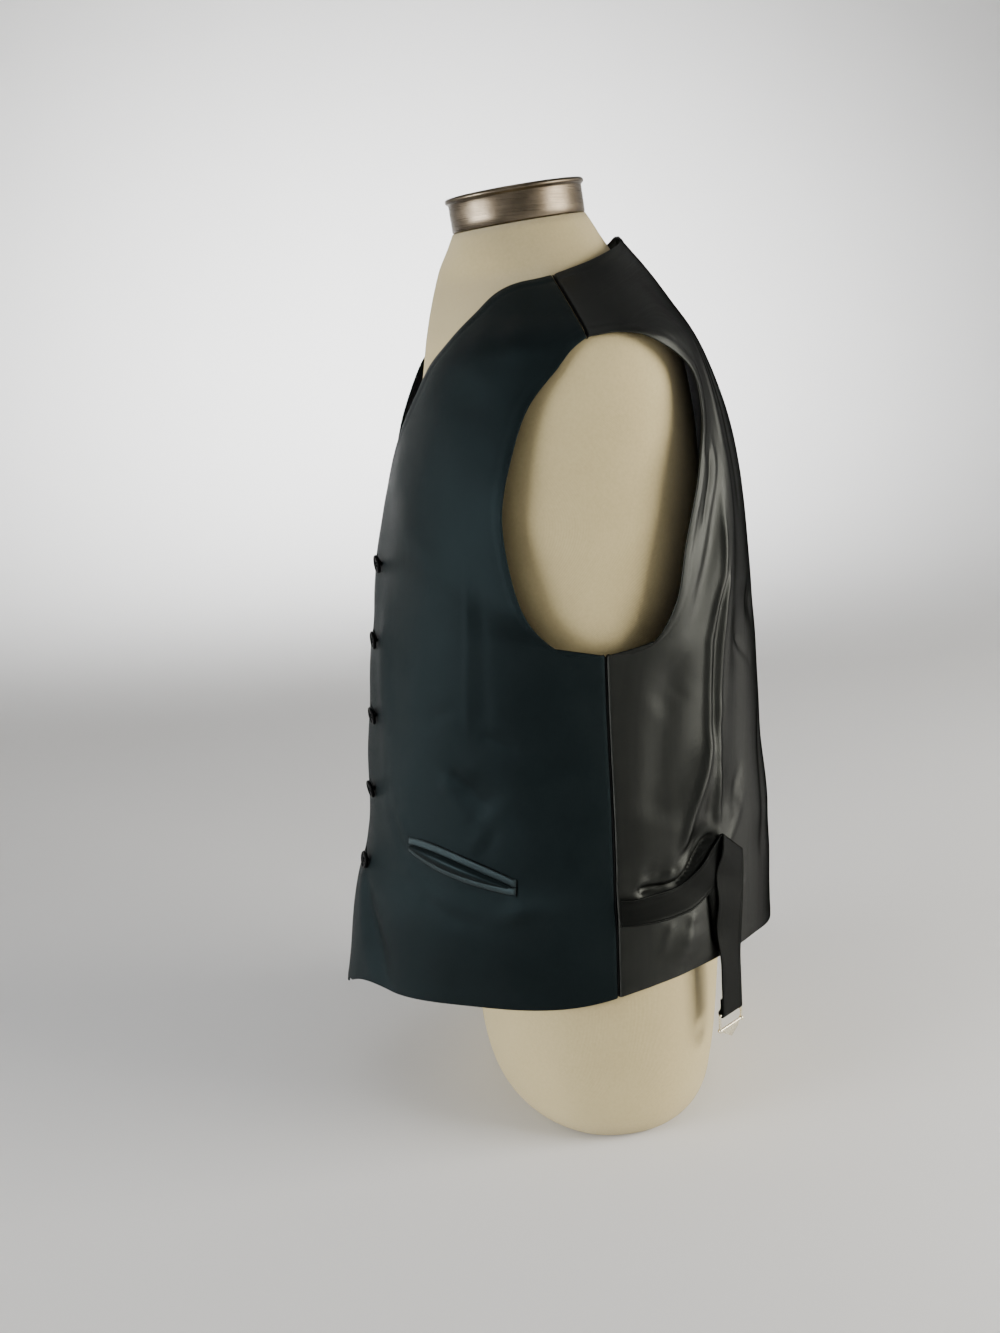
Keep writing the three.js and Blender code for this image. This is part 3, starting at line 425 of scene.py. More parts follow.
# The largest folds, straight: side, from angle and height, to angle and height, width, rise.
wornFolds = [
    (1, 0, 480, 0, 230, 22, 4),
    (1, 0, 492, 0, 390, 18, 3.5),
    (1, 133, 520, 125, 350, 15, 4),
    (1, 124, 335, 112, 256, 14, 5),
    (1, 124, 306, 124, 262, 12, 3),
    (1, 138, 590, 117, 450, 14, -3),
    (1, 126, 252, 136, 262, 13, 1.2),
    (1, 97, 222, 108, 222, 12, -4),
    (1, 110, 224, 121, 254, 11, -6),
    (1, 112, 373, 100, 352, 18, -1.5),
    (1, 144, 420, 158, 404, 14, -3),
    (1, 115, 180, 111, 145, 12, 3),
    (1, 50, 305, 60, 274, 15, -3),
    (1, 14, 185, 28, 115, 14, -5),
    (1, 64, 210, 67, 190, 12, 3),
    (1, 8, 470, 25, 250, 16, 2.5),
    (-1, 140, 505, 128, 350, 16, 4),
    (-1, 128, 330, 116, 258, 15, 4),
    (-1, 142, 570, 120, 440, 14, -3),
    (-1, 98, 222, 110, 226, 12, -4),
    (-1, 112, 228, 121, 252, 11, -4),
    (-1, 52, 300, 40, 280, 15, -3),
    (-1, 16, 200, 26, 118, 14, -4),
]

# Finer creases along places of angle and height, each with its width and its rise from end to end.
creases = [
    {'side': 1, 'path': [(130, 500), (127, 445), (123.4, 423), (120.6, 398), (119.9, 351), (119.6, 319), (117.8, 297),
                         (115.4, 281), (113.4, 267), (111.6, 250), (110.5, 236)], 'width': (2.7, 4), 'rise': (1.9, 2.8),
     'fade': 0.06},
    {'side': 1, 'path': [(128.3, 460), (125.6, 433), (123.8, 411), (122.6, 381), (122.1, 350), (121.4, 318)],
     'width': (2, 2), 'rise': (-0.3, -1.1)},
    {'side': 1, 'path': [(129.8, 450), (127.2, 425), (125.2, 395), (124.3, 348), (123.4, 313), (123.2, 277), (123.8, 249)],
     'width': (2.5, 3.2), 'rise': (1.6, 2.6), 'fade': 0.06},
    {'side': 1, 'path': [(131.5, 525), (129, 507), (125.2, 479), (120.6, 452), (116.9, 430), (113.6, 409), (112, 392)],
     'width': (4.5, 10), 'rise': (-1.2, -1.6), 'fade': 0.4},
    {'side': 1, 'path': [(131.5, 545), (128.4, 521), (122, 487), (117.7, 460), (113, 432)], 'width': (3.5, 5), 'rise': (1.1, 0.5)},
    {'side': 1, 'path': [(127.5, 536), (125.8, 521), (122.2, 502), (119.5, 482)], 'width': (1.8, 2.2), 'rise': (-0.9, -0.5)},
    {'side': 1, 'path': [(124, 535), (122.7, 523), (117.2, 496), (112.5, 464)], 'width': (3, 5), 'rise': (0.8, 0.4)},
    {'side': 1, 'path': [(107, 400), (105, 350), (103, 300), (101, 262)], 'width': (14, 14), 'rise': (-1.8, -2.2)},
    {'side': 1, 'path': [(137, 430), (136, 360), (135, 300), (134, 235)], 'width': (15, 18), 'rise': (-1.6, -2.4)},
    {'side': -1, 'path': [(108, 390), (105, 340), (102, 280)], 'width': (14, 14), 'rise': (-1.5, -1.8)},
    {'side': 1, 'path': [(134.5, 395), (140.3, 381), (148, 365)], 'width': (2.2, 3.5), 'rise': (-1.2, -0.5)},
    {'side': 1, 'path': [(133.5, 388), (138, 377), (143, 366)], 'width': (2.6, 3.5), 'rise': (0.9, 0.3)},
    {'side': 1, 'path': [(126.5, 229), (129.3, 238), (135.1, 256), (140, 268)], 'width': (3.5, 5), 'rise': (1.6, 0.4)},
    {'side': 1, 'path': [(138.5, 300), (136.5, 284), (132.9, 271), (130.2, 256)], 'width': (6, 4), 'rise': (-0.7, -1.2),
     'fade': 0.45},
    {'side': 1, 'path': [(120.6, 290), (120.3, 272), (120.6, 254)], 'width': (4, 7), 'rise': (-0.6, -1.5), 'fade': 0.45},
    {'side': 1, 'path': [(104, 198), (109, 198.5), (113.5, 201), (118, 207), (122, 216)], 'width': (8, 9), 'rise': (-1.4, -2.4)},
    {'side': 1, 'path': [(97, 213.5), (105.4, 212.5), (110.3, 213.5), (113.2, 218.5), (116.3, 228), (119.5, 238), (122, 243)],
     'width': (2.7, 2.7), 'rise': (-6, -7.5), 'fade': 0.03},
    {'side': 1, 'path': [(97, 221), (105.4, 220.5), (109.5, 222), (112, 229), (114.5, 239), (117, 248)],
     'width': (4, 4), 'rise': (1.6, 2.0), 'fade': 0.3},
    {'side': 1, 'path': [(122.4, 222), (121.8, 205), (122.9, 176), (124.5, 146)], 'width': (4.6, 3.2), 'rise': (-6, -3)},
    {'side': 1, 'path': [(114.8, 186), (113.9, 176), (112.6, 160)], 'width': (3.2, 4.5), 'rise': (1.5, 0.6)},
    {'side': 1, 'path': [(108, 185), (106.3, 172), (105, 158)], 'width': (3.4, 5), 'rise': (1.0, 0.4)},
    {'side': 1, 'path': [(108, 389), (112, 368), (109, 357)], 'width': (9, 10), 'rise': (-0.6, -0.4)},
    {'side': 1, 'path': [(144, 610), (139, 560), (136, 520), (135, 470)], 'width': (3, 5), 'rise': (0.9, 0.4)},
    {'side': 1, 'path': [(149, 600), (145, 540), (144, 480)], 'width': (4, 6), 'rise': (-0.8, -0.4)},
    {'side': 1, 'path': [(157, 330), (153, 260), (150, 190)], 'width': (7, 9), 'rise': (-0.9, -1.1)},
    {'side': 1, 'path': [(47, 306), (52, 292), (58, 274)], 'width': (5, 7), 'rise': (-1.9, -1.4)},
    {'side': 1, 'path': [(44, 300), (48, 287), (53, 268)], 'width': (5, 6), 'rise': (1.2, 0.9)},
    {'side': 1, 'path': [(56, 338), (62, 333), (67, 326)], 'width': (4, 5), 'rise': (-0.9, -0.5)},
    {'side': 1, 'path': [(40, 345), (46, 352), (51, 362)], 'width': (4, 5), 'rise': (-0.6, -0.4)},
    {'side': 1, 'path': [(38, 203), (48, 190), (58, 186)], 'width': (6, 8), 'rise': (-1.1, -0.6)},
    {'side': 1, 'path': [(30, 222), (40, 205), (52, 199)], 'width': (6, 7), 'rise': (0.9, 0.4)},
    {'side': 1, 'path': [(56, 262), (54, 252), (52, 243)], 'width': (3, 4), 'rise': (0.7, 0.4)},
    {'side': 1, 'path': [(60, 266), (58, 252), (56, 240)], 'width': (3, 4), 'rise': (-0.8, -0.4)},
    {'side': 1, 'path': [(20, 330), (22, 268), (27, 245), (31, 226)], 'width': (6, 6), 'rise': (-0.4, -0.8)},
    {'side': 1, 'path': [(27, 262), (30, 248), (32, 240)], 'width': (4, 5), 'rise': (0.5, 0.3)},
    {'side': 1, 'path': [(64, 215), (65, 207), (66, 196)], 'width': (4, 5), 'rise': (1.2, 0.6)},
    {'side': 1, 'path': [(53, 472), (53, 400), (53, 330)], 'width': (3, 3), 'rise': (0.5, 0.55)},
    {'side': 1, 'path': [(57, 460), (57.5, 400), (58, 340)], 'width': (5, 6), 'rise': (-0.6, -0.8)},
    {'side': 1, 'path': [(12, 198), (19, 165), (24, 135), (30, 108)], 'width': (6, 8), 'rise': (-1.6, -1.2)},
    {'side': 1, 'path': [(8, 200), (12, 170), (17, 135)], 'width': (7, 8), 'rise': (1.4, 1.0)},
    {'side': -1, 'path': [(140, 540), (134, 470), (130, 410), (128, 350), (125, 300)], 'width': (3, 4), 'rise': (0.6, 2.0)},
    {'side': -1, 'path': [(131, 440), (127, 400), (126, 350)], 'width': (2.2, 2.4), 'rise': (-0.4, -1.0)},
    {'side': -1, 'path': [(128, 330), (123, 300), (118, 270), (116, 248)], 'width': (4, 4), 'rise': (1.2, 1.8)},
    {'side': -1, 'path': [(142, 590), (132, 520), (121, 440), (115, 405)], 'width': (3.5, 8), 'rise': (-1.0, -1.8)},
    {'side': -1, 'path': [(138, 580), (128, 520), (118, 460)], 'width': (3.5, 5), 'rise': (1.0, 0.5)},
    {'side': -1, 'path': [(104, 198), (109, 198.5), (113.5, 201), (118, 207)], 'width': (8, 9), 'rise': (-1.4, -2.0)},
    {'side': -1, 'path': [(97, 213.5), (105, 213), (110, 214), (113.5, 220), (117, 230), (120, 240)],
     'width': (2.7, 2.7), 'rise': (-5, -6)},
    {'side': -1, 'path': [(97, 222), (106, 221), (110, 224), (113.5, 234)], 'width': (4, 4), 'rise': (1.9, 2)},
    {'side': -1, 'path': [(113, 186), (112, 170), (109, 150)], 'width': (4, 6), 'rise': (1.2, 0.5)},
    {'side': -1, 'path': [(108, 392), (111, 374), (107, 358)], 'width': (9, 10), 'rise': (-1.2, -0.9)},
    {'side': -1, 'path': [(150, 430), (157, 419), (163, 414)], 'width': (3, 4), 'rise': (-1.0, -0.5)},
    {'side': -1, 'path': [(50, 306), (44, 292), (39, 280)], 'width': (6, 8), 'rise': (-1.2, -0.9)},
    {'side': -1, 'path': [(53, 468), (53, 400), (53, 335)], 'width': (3, 3), 'rise': (-0.45, -0.5)},
    {'side': -1, 'path': [(14, 200), (20, 160), (26, 118)], 'width': (6, 8), 'rise': (-1.4, -1.0)},
]


def smoothTable(table):
    columns = table['columns'].split()
    values = np.array(table['rows'], dtype=float)
    key = values[:, 0]
    slopes = np.empty_like(values)
    for i in range(len(key)):
        low, high = max(i - 1, 0), min(i + 1, len(key) - 1)
        slopes[i] = (values[high] - values[low]) / (key[high] - key[low])

    def lookUp(at):
        at = np.asarray(at, dtype=float)
        i = np.clip(np.searchsorted(key, at, side='left') - 1, 0, len(key) - 2)
        span = key[i + 1] - key[i]
        t = np.clip((at - key[i]) / span, 0, 1)[..., None]
        rise = values[i + 1] - values[i]
        start, end = slopes[i] * span[..., None], slopes[i + 1] * span[..., None]
        cubic, square = start + end - 2 * rise, 3 * rise - 2 * start - end
        result = values[i] + t * (start + t * (square + t * cubic))
        return {name: result[..., c] for c, name in enumerate(columns)}

    return lookUp


wornSection = smoothTable(wornSections)


def levelPoint(section, angle, height):
    turn = np.radians(angle)
    facesFront = np.abs(angle) <= 90
    power = 2 / np.where(facesFront, section['frontPower'], section['backPower'])
    reach = np.where(facesFront, section['front'], section['back'])
    across = np.abs(np.sin(turn)) ** power * np.sign(turn)
    along = np.abs(np.cos(turn)) ** power
    x = section['halfWidth'] * across
    y = section['sideY'] + (reach - section['sideY']) * along
    return np.stack([x, y, height + 0 * x], axis=-1)


def angleAcross(across, height, isBack):
    section = wornSection(height)
    power = section['backPower' if isBack else 'frontPower']
    sine = np.minimum(np.abs(across) / section['halfWidth'], 1) ** (power / 2)
    turn = np.degrees(np.sign(across) * np.arcsin(sine))
    return 180 - turn if isBack else turn


def angleDeep(depth, height, isBack):
    section = wornSection(height)
    power = section['backPower' if isBack else 'frontPower']
    reach = section['back' if isBack else 'front']
    cosine = np.maximum((depth - section['sideY']) / (reach - section['sideY']), 0) ** (power / 2)
    turn = np.degrees(np.arccos(np.minimum(cosine, 1)))
    return 180 - turn if isBack else turn


def sideSeam(height, isBack):
    sideY = wornSection(height)['sideY']
    return angleDeep(sideY + (0.5 if isBack else -0.5) * seamGap, height, isBack)


def endFade(along, reach):
    t = np.clip(np.minimum(along, 1 - along) / reach, 0, 1)
    return t * t * (3 - 2 * t)


def foldRelief(angle, height):
    relief = np.zeros(np.broadcast(angle, height).shape)
    for side, angleA, heightA, angleB, heightB, width, rise in wornFolds:
        ax, bx = angleA * side * arcPerDegree, angleB * side * arcPerDegree
        px, py = angle * arcPerDegree - ax, height - heightA
        dx, dy = bx - ax, heightB - heightA
        length = math.hypot(dx, dy)
        along = (px * dx + py * dy) / length
        aside = (px * dy - py * dx) / length
        past = np.maximum(np.maximum(-along, along - length), 0)
        fade = 0.3 + 0.7 * endFade(along / length, 0.4)
        relief = relief + rise * fade * np.exp(-(aside ** 2 + past ** 2) / width ** 2)
    return relief


def creaseRelief(angle, height):
    total = np.zeros(np.broadcast(angle, height).shape)
    px, py = angle * arcPerDegree, height + 0 * angle
    for crease in creases:
        places = [(a * crease['side'] * arcPerDegree, h) for a, h in crease['path']]
        count = len(places) - 1
        best = np.zeros(total.shape)
        for i, ((ax, ay), (bx, by)) in enumerate(zip(places, places[1:])):
            dx, dy = bx - ax, by - ay
            t = np.clip(((px - ax) * dx + (py - ay) * dy) / (dx * dx + dy * dy), 0, 1)
            gap = (px - ax - t * dx) ** 2 + (py - ay - t * dy) ** 2
            along = (i + t) / count
            width = crease['width'][0] + (crease['width'][1] - crease['width'][0]) * along
            fall = np.exp(-gap / width ** 2)
            rise = crease['rise'][0] + (crease['rise'][1] - crease['rise'][0]) * along
            rise = rise * (0.15 + 0.85 * endFade(along, crease.get('fade', 0.16)))
            best = np.where(fall > np.abs(best) / np.maximum(np.abs(rise), 1e-6), rise * fall, best)
        total = total + best
    return total


rng = np.random.default_rng(7)
ripples = [(rng.uniform(0, 2 * math.pi), rng.uniform(28, 95), rng.uniform(0, 6.28)) for _ in range(26)]


def softRipple(angle, height, size):
    px, py = angle * arcPerDegree, height
    total = 0
    for turn, pitch, phase in ripples:
        total = total + (pitch / 60) * np.sin(
            (px * math.cos(turn) + py * 0.6 * math.sin(turn)) * 2 * math.pi / pitch + phase)
    return size * total / len(ripples) ** 0.5


def barePoint(angle, height):
    return levelPoint(wornSection(height), angle, height)


def unit(vectors):
    return vectors / np.maximum(np.linalg.norm(vectors, axis=-1, keepdims=True), 1e-12)


def outward(surface, angle, height):
    along = surface(angle + 0.6, height) - surface(angle - 0.6, height)
    upward = surface(angle, height + 1.5) - surface(angle, height - 1.5)
    return unit(np.cross(along, upward))


def foldedPoint(angle, height):
    relief = foldRelief(angle, height) + creaseRelief(angle, height)
    return barePoint(angle, height) + outward(barePoint, angle, height) * relief[..., None]


def clothPoint(angle, height, distance=0.0):
    angle, height = np.asarray(angle, dtype=float), np.asarray(height, dtype=float)
    lift = np.asarray(distance, dtype=float) * np.ones(np.broadcast(angle, height).shape)
    return foldedPoint(angle, height) + outward(foldedPoint, angle, height) * lift[..., None]


# Meshes: points in millimetres, a patch for each face, and a map of places on the cloth in metres.
def addMesh(name, points, faces, paint, places=None, smooth=True):
    mesh = bpy.data.meshes.new(name)
    mesh.from_pydata((np.asarray(points) * 0.001).tolist(), [], [tuple(face) for face in faces])
    mesh.materials.append(paint)
    if places is not None:
        layer = mesh.uv_layers.new(name='cloth')
        corners = np.empty(len(mesh.loops), dtype=np.int32)
        mesh.loops.foreach_get('vertex_index', corners)
        layer.data.foreach_set('uv', (np.asarray(places) * 0.001)[corners].ravel())
    mesh.polygons.foreach_set('use_smooth', [smooth] * len(mesh.polygons))
    made = bpy.data.objects.new(name, mesh)
    bpy.context.scene.collection.objects.link(made)
    return made


def faceOutward(made):
    shape = bmesh.new()
    shape.from_mesh(made.data)
    if shape.calc_volume(signed=True) < 0:
        bmesh.ops.reverse_faces(shape, faces=shape.faces)
    shape.to_mesh(made.data)
    shape.free()


def shellFaces(rows, columns):
    outer = gridFaces(rows, columns)
    index = np.arange(rows * columns).reshape(rows, columns)
    inner = index + rows * columns
    inner[0, :], inner[-1, :] = index[0, :], index[-1, :]
    inner[:, 0], inner[:, -1] = index[:, 0], index[:, -1]
    a, b, c, d = inner[:-1, :-1], inner[:-1, 1:], inner[1:, 1:], inner[1:, :-1]
    back = np.stack([d, c, b, a], axis=-1).reshape(-1, 4)
    return np.concatenate([outer, back])


def tidyShell(made):
    shape = bmesh.new()
    shape.from_mesh(made.data)
    loose = [vertex for vertex in shape.verts if not vertex.link_faces]
    bmesh.ops.delete(shape, geom=loose, context='VERTS')
    if shape.calc_volume(signed=True) < 0:
        bmesh.ops.reverse_faces(shape, faces=shape.faces)
    shape.to_mesh(made.data)
    shape.free()


def gathered(length, count):
    near = np.array([0, 0.12, 0.35, 0.7, 1.2, 2.0, 3.2, 5.0]) / length
    inside = np.linspace(7.0 / length, 1 - 7.0 / length, count)
    return np.concatenate([near, inside, (1 - near)[::-1]])


def panelRows(table, isBack, steps):
    rows = []
    for step, (edgeHeight, edgeAcross, sideHeight, sideDepth) in enumerate(table['rows']):
        edge = sideSeam(edgeHeight, isBack) if edgeAcross is seam else angleAcross(
            edgeAcross, edgeHeight, isBack)
        side = sideSeam(sideHeight, isBack) if sideDepth is seam else angleDeep(
            sideDepth, sideHeight, isBack)
        rows.append((step, edgeHeight, float(edge), sideHeight, float(side)))
    lookUp = smoothTable({'columns': 'step edgeHeight edgeAngle sideHeight sideAngle', 'rows': rows})
    return lookUp(steps * (len(rows) - 1))


def panelPlaces(table, hem, isBack, side, across, upward):
    row = {name: values[:, None] for name, values in panelRows(table, isBack, upward).items()}
    along = across[None, :]
    lift = smoothTable({'columns': 'along lift', 'rows': hem})(along)['lift']
    fade = np.maximum(1 - upward[:, None] / hemFade, 0) ** 2
    height = row['edgeHeight'] + (row['sideHeight'] - row['edgeHeight']) * along + fade * lift
    limit = sideSeam(height, isBack)
    low = limit if isBack else -180
    high = angleAcross(0.5 * seamGap, height, True) if isBack else limit
    angle = row['edgeAngle'] + (row['sideAngle'] - row['edgeAngle']) * along
    return side * np.clip(angle, low, high), height


def underlapRows():
    rows = []
    for step, (edgeHeight, edgeAcross, sideHeight, sideDepth) in enumerate(frontRows['rows']):
        if edgeAcross == closingEdge:
            slide = underlap['top'] / breakHeight if edgeHeight > underlap['slideFrom'] else 1
            edgeHeight = underlap['hem'] if step == 0 else edgeHeight * slide
            edgeAcross = underlap['edge']
        rows.append((edgeHeight, edgeAcross, sideHeight, sideDepth))
    return {'columns': frontRows['columns'], 'rows': rows}


def edgeDistances(points):
    across = np.linalg.norm(np.diff(points, axis=1), axis=-1)
    upward = np.linalg.norm(np.diff(points, axis=0), axis=-1)
    left = np.concatenate([np.zeros((len(points), 1)), np.cumsum(across, axis=1)], axis=1)
    low = np.concatenate([np.zeros((1, points.shape[1])), np.cumsum(upward, axis=0)], axis=0)
    return left, left[:, -1:] - left, low, low[-1:] - low


def clothPanel(name, table, hem, isBack, side, paint, seams, sink=None):
    columns, lines = (122, 236) if isBack else (92, 168)
    across, upward = gathered(260, columns), gathered(520, lines)
    angle, height = panelPlaces(table, hem, isBack, side, across, upward)
    points = foldedPoint(angle, height)
    normals = outward(foldedPoint, angle, height)
    fromEdge, fromSide, fromHem, fromTop = edgeDistances(points)
    relief = softRipple(angle, height, 0.22 if isBack else 0.34)
    step = upward[:, None] * (len(table['rows']) - 1)
    sewn = {'edge': step < seams['edge'], 'side': step < seams['side'], 'top': step > -1}
    for key, gap in (('edge', fromEdge), ('side', fromSide), ('top', fromTop)):
        valley = -2.4 * np.exp(-(gap / 0.75) ** 2) - 0.35 * np.exp(-(gap / 2.6) ** 2)
        run = height if key != 'top' else angle * arcPerDegree
        pucker = 0.22 * np.sin(run / 3.1 + 2.2 * np.sin(run / 17)) * np.exp(-(gap / 7) ** 2)
        relief = relief + np.where(sewn[key], valley + pucker * (1 if isBack else 0.35), 0)
        pressed = 0.28 * np.exp(-((gap - 5) / 3.2) ** 2) - 0.16 * np.exp(-((gap - 9.5) / 2.4) ** 2)
        relief = relief + np.where(sewn[key], 0, pressed)
    relief = relief + 0.22 * np.exp(-((fromHem - 6) / 4.5) ** 2)
    nearest = np.minimum(np.minimum(fromEdge, fromSide), np.minimum(fromHem, fromTop))
    half = clothWall / 2
    bulge = np.sqrt(np.clip(1 - (1 - np.minimum(nearest / half, 1)) ** 2, 0, 1))
    if sink is not None:
        relief = relief - sink(angle)
    outer = points + normals * (relief - half + half * bulge)[..., None]
    inner = points + normals * (relief - half - half * bulge)[..., None]
    rows, count = angle.shape
    places = np.stack([fromEdge, height], axis=-1).reshape(-1, 2)
    made = addMesh(name, np.concatenate([outer.reshape(-1, 3), inner.reshape(-1, 3)]),
                   shellFaces(rows, count), paint, np.concatenate([places, places]))
    tidyShell(made)
    area = float(np.linalg.norm(np.cross(points[1:, :-1] - points[:-1, :-1],
                                         points[:-1, 1:] - points[:-1, :-1]), axis=-1).sum()) * 1e-6
    return made, area


def lapSink(angle):
    t = np.clip((angle + 16) / 12.5, 0, 1)
    return 2.35 * t * t * (3 - 2 * t)


panels = [
    {'name': 'left_front_cloth', 'node': 'front_left', 'table': frontRows, 'hem': hemLifts['front'],
     'isBack': False, 'side': 1, 'paint': 'front', 'slot': 'front_cloth', 'seams': {'edge': -1, 'side': 9.2},
     'flat': (0.31, 0.62)},
    {'name': 'right_front_cloth', 'node': 'front_right', 'table': underlapRows(), 'hem': hemLifts['underlap'],
     'isBack': False, 'side': -1, 'paint': 'front', 'slot': 'front_cloth', 'seams': {'edge': -1, 'side': 9.2},
     'sink': lapSink, 'flat': (0.34, 0.62)},
    {'name': 'left_back_cloth', 'node': 'back_left', 'table': backRows, 'hem': hemLifts['back'],
     'isBack': True, 'side': 1, 'paint': 'back', 'slot': 'back_satin', 'seams': {'edge': 17, 'side': 9.2},
     'flat': (0.29, 0.63)},
    {'name': 'right_back_cloth', 'node': 'back_right', 'table': backRows, 'hem': hemLifts['back'],
     'isBack': True, 'side': -1, 'paint': 'back', 'slot': 'back_satin', 'seams': {'edge': 17, 'side': 9.2},
     'flat': (0.29, 0.63)},
]

# The pocket mouth runs down from its front end to its side end between two narrow jets.
pocket = {'frontAngle': 33, 'sideAngle': 63.5, 'frontHeight': 239, 'sideHeight': 220.5, 'jetHeight': 6,
          'jetGap': 0.15, 'peak': 0.42}


def mouthLine(t, gape):
    peak = pocket['peak']
    spread = np.where(t < peak, t / peak, (1 - t) / (1 - peak))
    bow = gape * np.sin(0.5 * math.pi * np.clip(spread, 0, 1)) ** 0.8
    middle = pocket['frontHeight'] + (pocket['sideHeight'] - pocket['frontHeight']) * t
    angle = pocket['frontAngle'] + (pocket['sideAngle'] - pocket['frontAngle']) * t
    return angle, middle - 0.35 * bow - pocket['jetGap'], middle + 0.65 * bow + pocket['jetGap']


def sweptTube(name, sections, paint, places=None):
    rows, count = sections.shape[:2]
    faces = gridFaces(rows, count, closed=True).tolist()
    faces.append(list(range(count))[::-1])
    faces.append([(rows - 1) * count + i for i in range(count)])
    made = addMesh(name, sections.reshape(-1, 3), faces, paint, places)
    faceOutward(made)
    return made


def pocketJet(name, side, gape, upper):
    t = np.linspace(-0.03, 1.03, 70)
    angle, low, high = mouthLine(np.clip(t, 0, 1), gape)
    angle = pocket['frontAngle'] + (pocket['sideAngle'] - pocket['frontAngle']) * t
    tall = pocket['jetHeight']
    # Across the jet from its fold at the mouth to its seam, over and back below.
    profile = [(0.35, -1.3), (0.05, -0.3), (0.0, 0.6), (0.15, 1.2), (0.5, 1.6), (1.2, 1.75), (3.2, 1.6),
               (5.0, 1.3), (5.75, 1.0), (5.98, 0.6), (6.0, 0.1), (5.6, -0.5), (3.0, -0.3), (1.6, -0.2), (1.0, -1.0)]
    rings = []
    wobble = 0.18 * np.sin(t * 21 + side) + 0.12 * np.sin(t * 47)
    ends = np.clip(np.minimum(t + 0.03, 1.03 - t) / 0.02, 0, 1) ** 0.5
    for reach, lift in profile:
        reach = reach * tall / 6
        height = high + reach if upper else low - reach
        spread = 0.5 + 0.5 * ends
        distance = lift * spread + wobble * min(max(reach / 3, 0.2), 1) * 0.6
        rings.append(clothPoint(side * angle, height, distance))
    sections = np.stack(rings, axis=1)
    run = np.concatenate([[0], np.cumsum(np.linalg.norm(np.diff(sections[:, 5], axis=0), axis=-1))])
    places = np.stack(np.broadcast_arrays(run[:, None], np.array([p[0] for p in profile])[None, :]), axis=-1)
    # The jet paint carries a painted highlight.
    return sweptTube(name, sections, paints['jet'], places.reshape(-1, 2))


def pocketBag(name, side, gape):
    across, upward = np.linspace(0, 1, 90), np.linspace(0, 1, 60)
    t, v = np.meshgrid(across, upward)
    angle = 30 + 37 * t
    middle = pocket['frontHeight'] + (pocket['sideHeight'] - pocket['frontHeight']) * t
    height = middle - 42 + 56 * v
    mouthT = np.clip((angle - pocket['frontAngle']) / 30.5, 0, 1)
    _, low, high = mouthLine(mouthT, gape)
    inMouth = np.exp(-((height - (low + high) / 2) / 9) ** 2) * np.clip(mouthT * (1 - mouthT) * 6, 0, 1)
    folds = 1.2 * np.sin(mouthT * 29 + 1.3 * np.sin(height / 5)) + 0.8 * np.sin(mouthT * 57 - height / 4)
    below = np.clip(((low + high) / 2 - height) / 3 + 0.6, 0, 1)
    depth = -2.6 - inMouth * (2.6 + 2.4 * below) + inMouth * folds
    outer = clothPoint(side * angle, height, depth)
    inner = clothPoint(side * angle, height, depth - 1.0)
    places = np.stack([t * 90, height], axis=-1).reshape(-1, 2)
    # The pocket paint carries painted shade.
    made = addMesh(name, np.concatenate([outer.reshape(-1, 3), inner.reshape(-1, 3)]),
                   wallFaces(*t.shape), paints['pocket'], np.concatenate([places, places]))
    faceOutward(made)
    return made


def wallFaces(rows, columns):
    index = np.arange(rows * columns).reshape(rows, columns)
    size = rows * columns
    faces = [gridFaces(rows, columns), gridFaces(rows, columns, size, flip=True)]
    rim = np.concatenate([index[0, :-1], index[:-1, -1], index[-1, :0:-1], index[:0:-1, 0]])
    after = np.roll(rim, -1)
    faces.append(np.stack([rim, rim + size, after + size, after], axis=-1))
    return np.concatenate(faces)


def cutMouth(made, side, gape):
    t = np.linspace(0.02, 0.98, 60)
    angle, low, high = mouthLine(t, gape)
    rings = [clothPoint(side * angle, h, d) for h, d in ((low, 5), (high, 5), (high, -6), (low, -6))]
    cutter = sweptTube('mouthCutter', np.stack(rings, axis=1), paints['pocket'],
                       np.zeros((240, 2)))
    cut = made.modifiers.new('mouth', 'BOOLEAN')
    cut.operation = 'DIFFERENCE'
    cut.solver = 'EXACT'
    cut.object = cutter
    graph = bpy.context.evaluated_depsgraph_get()
    mesh = bpy.data.meshes.new_from_object(made.evaluated_get(graph), preserve_all_data_layers=True, depsgraph=graph)
    made.modifiers.clear()
    mesh.name = made.name
    made.data = mesh
    mesh.materials.clear()
    mesh.materials.append(paints['front'])
    mesh.polygons.foreach_set('material_index', [0] * len(mesh.polygons))
    mesh.polygons.foreach_set('use_smooth', [True] * len(mesh.polygons))
    bpy.data.objects.remove(cutter)


def standFor(made, node, body=garmentBody):
    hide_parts(node)
    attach(made, body)


gapes = {1: 8.5, -1: 3.0}
for panel in panels:
    made, area = clothPanel(panel['name'], panel['table'], panel['hem'], panel['isBack'], panel['side'],
                            paints[panel['paint']], panel['seams'], panel.get('sink'))
    if not panel['isBack']:
        cutMouth(made, panel['side'], gapes[panel['side']])
    standFor(made, panel['node'])
    panel['made'], panel['area'] = made, area
    print(panel['name'], 'area', round(area, 4))

for side, word in ((1, 'left'), (-1, 'right')):
    for upper, level in ((True, 'upper'), (False, 'lower')):
        jet = pocketJet(f'{word}_{level}_jet', side, gapes[side], upper)
        standFor(jet, f'jet_{level}_{word}')
    bag = pocketBag(f'{word}_pocket_bag', side, gapes[side])
    standFor(bag, f'pocket_bag_{word}')
print('panels and pockets made')

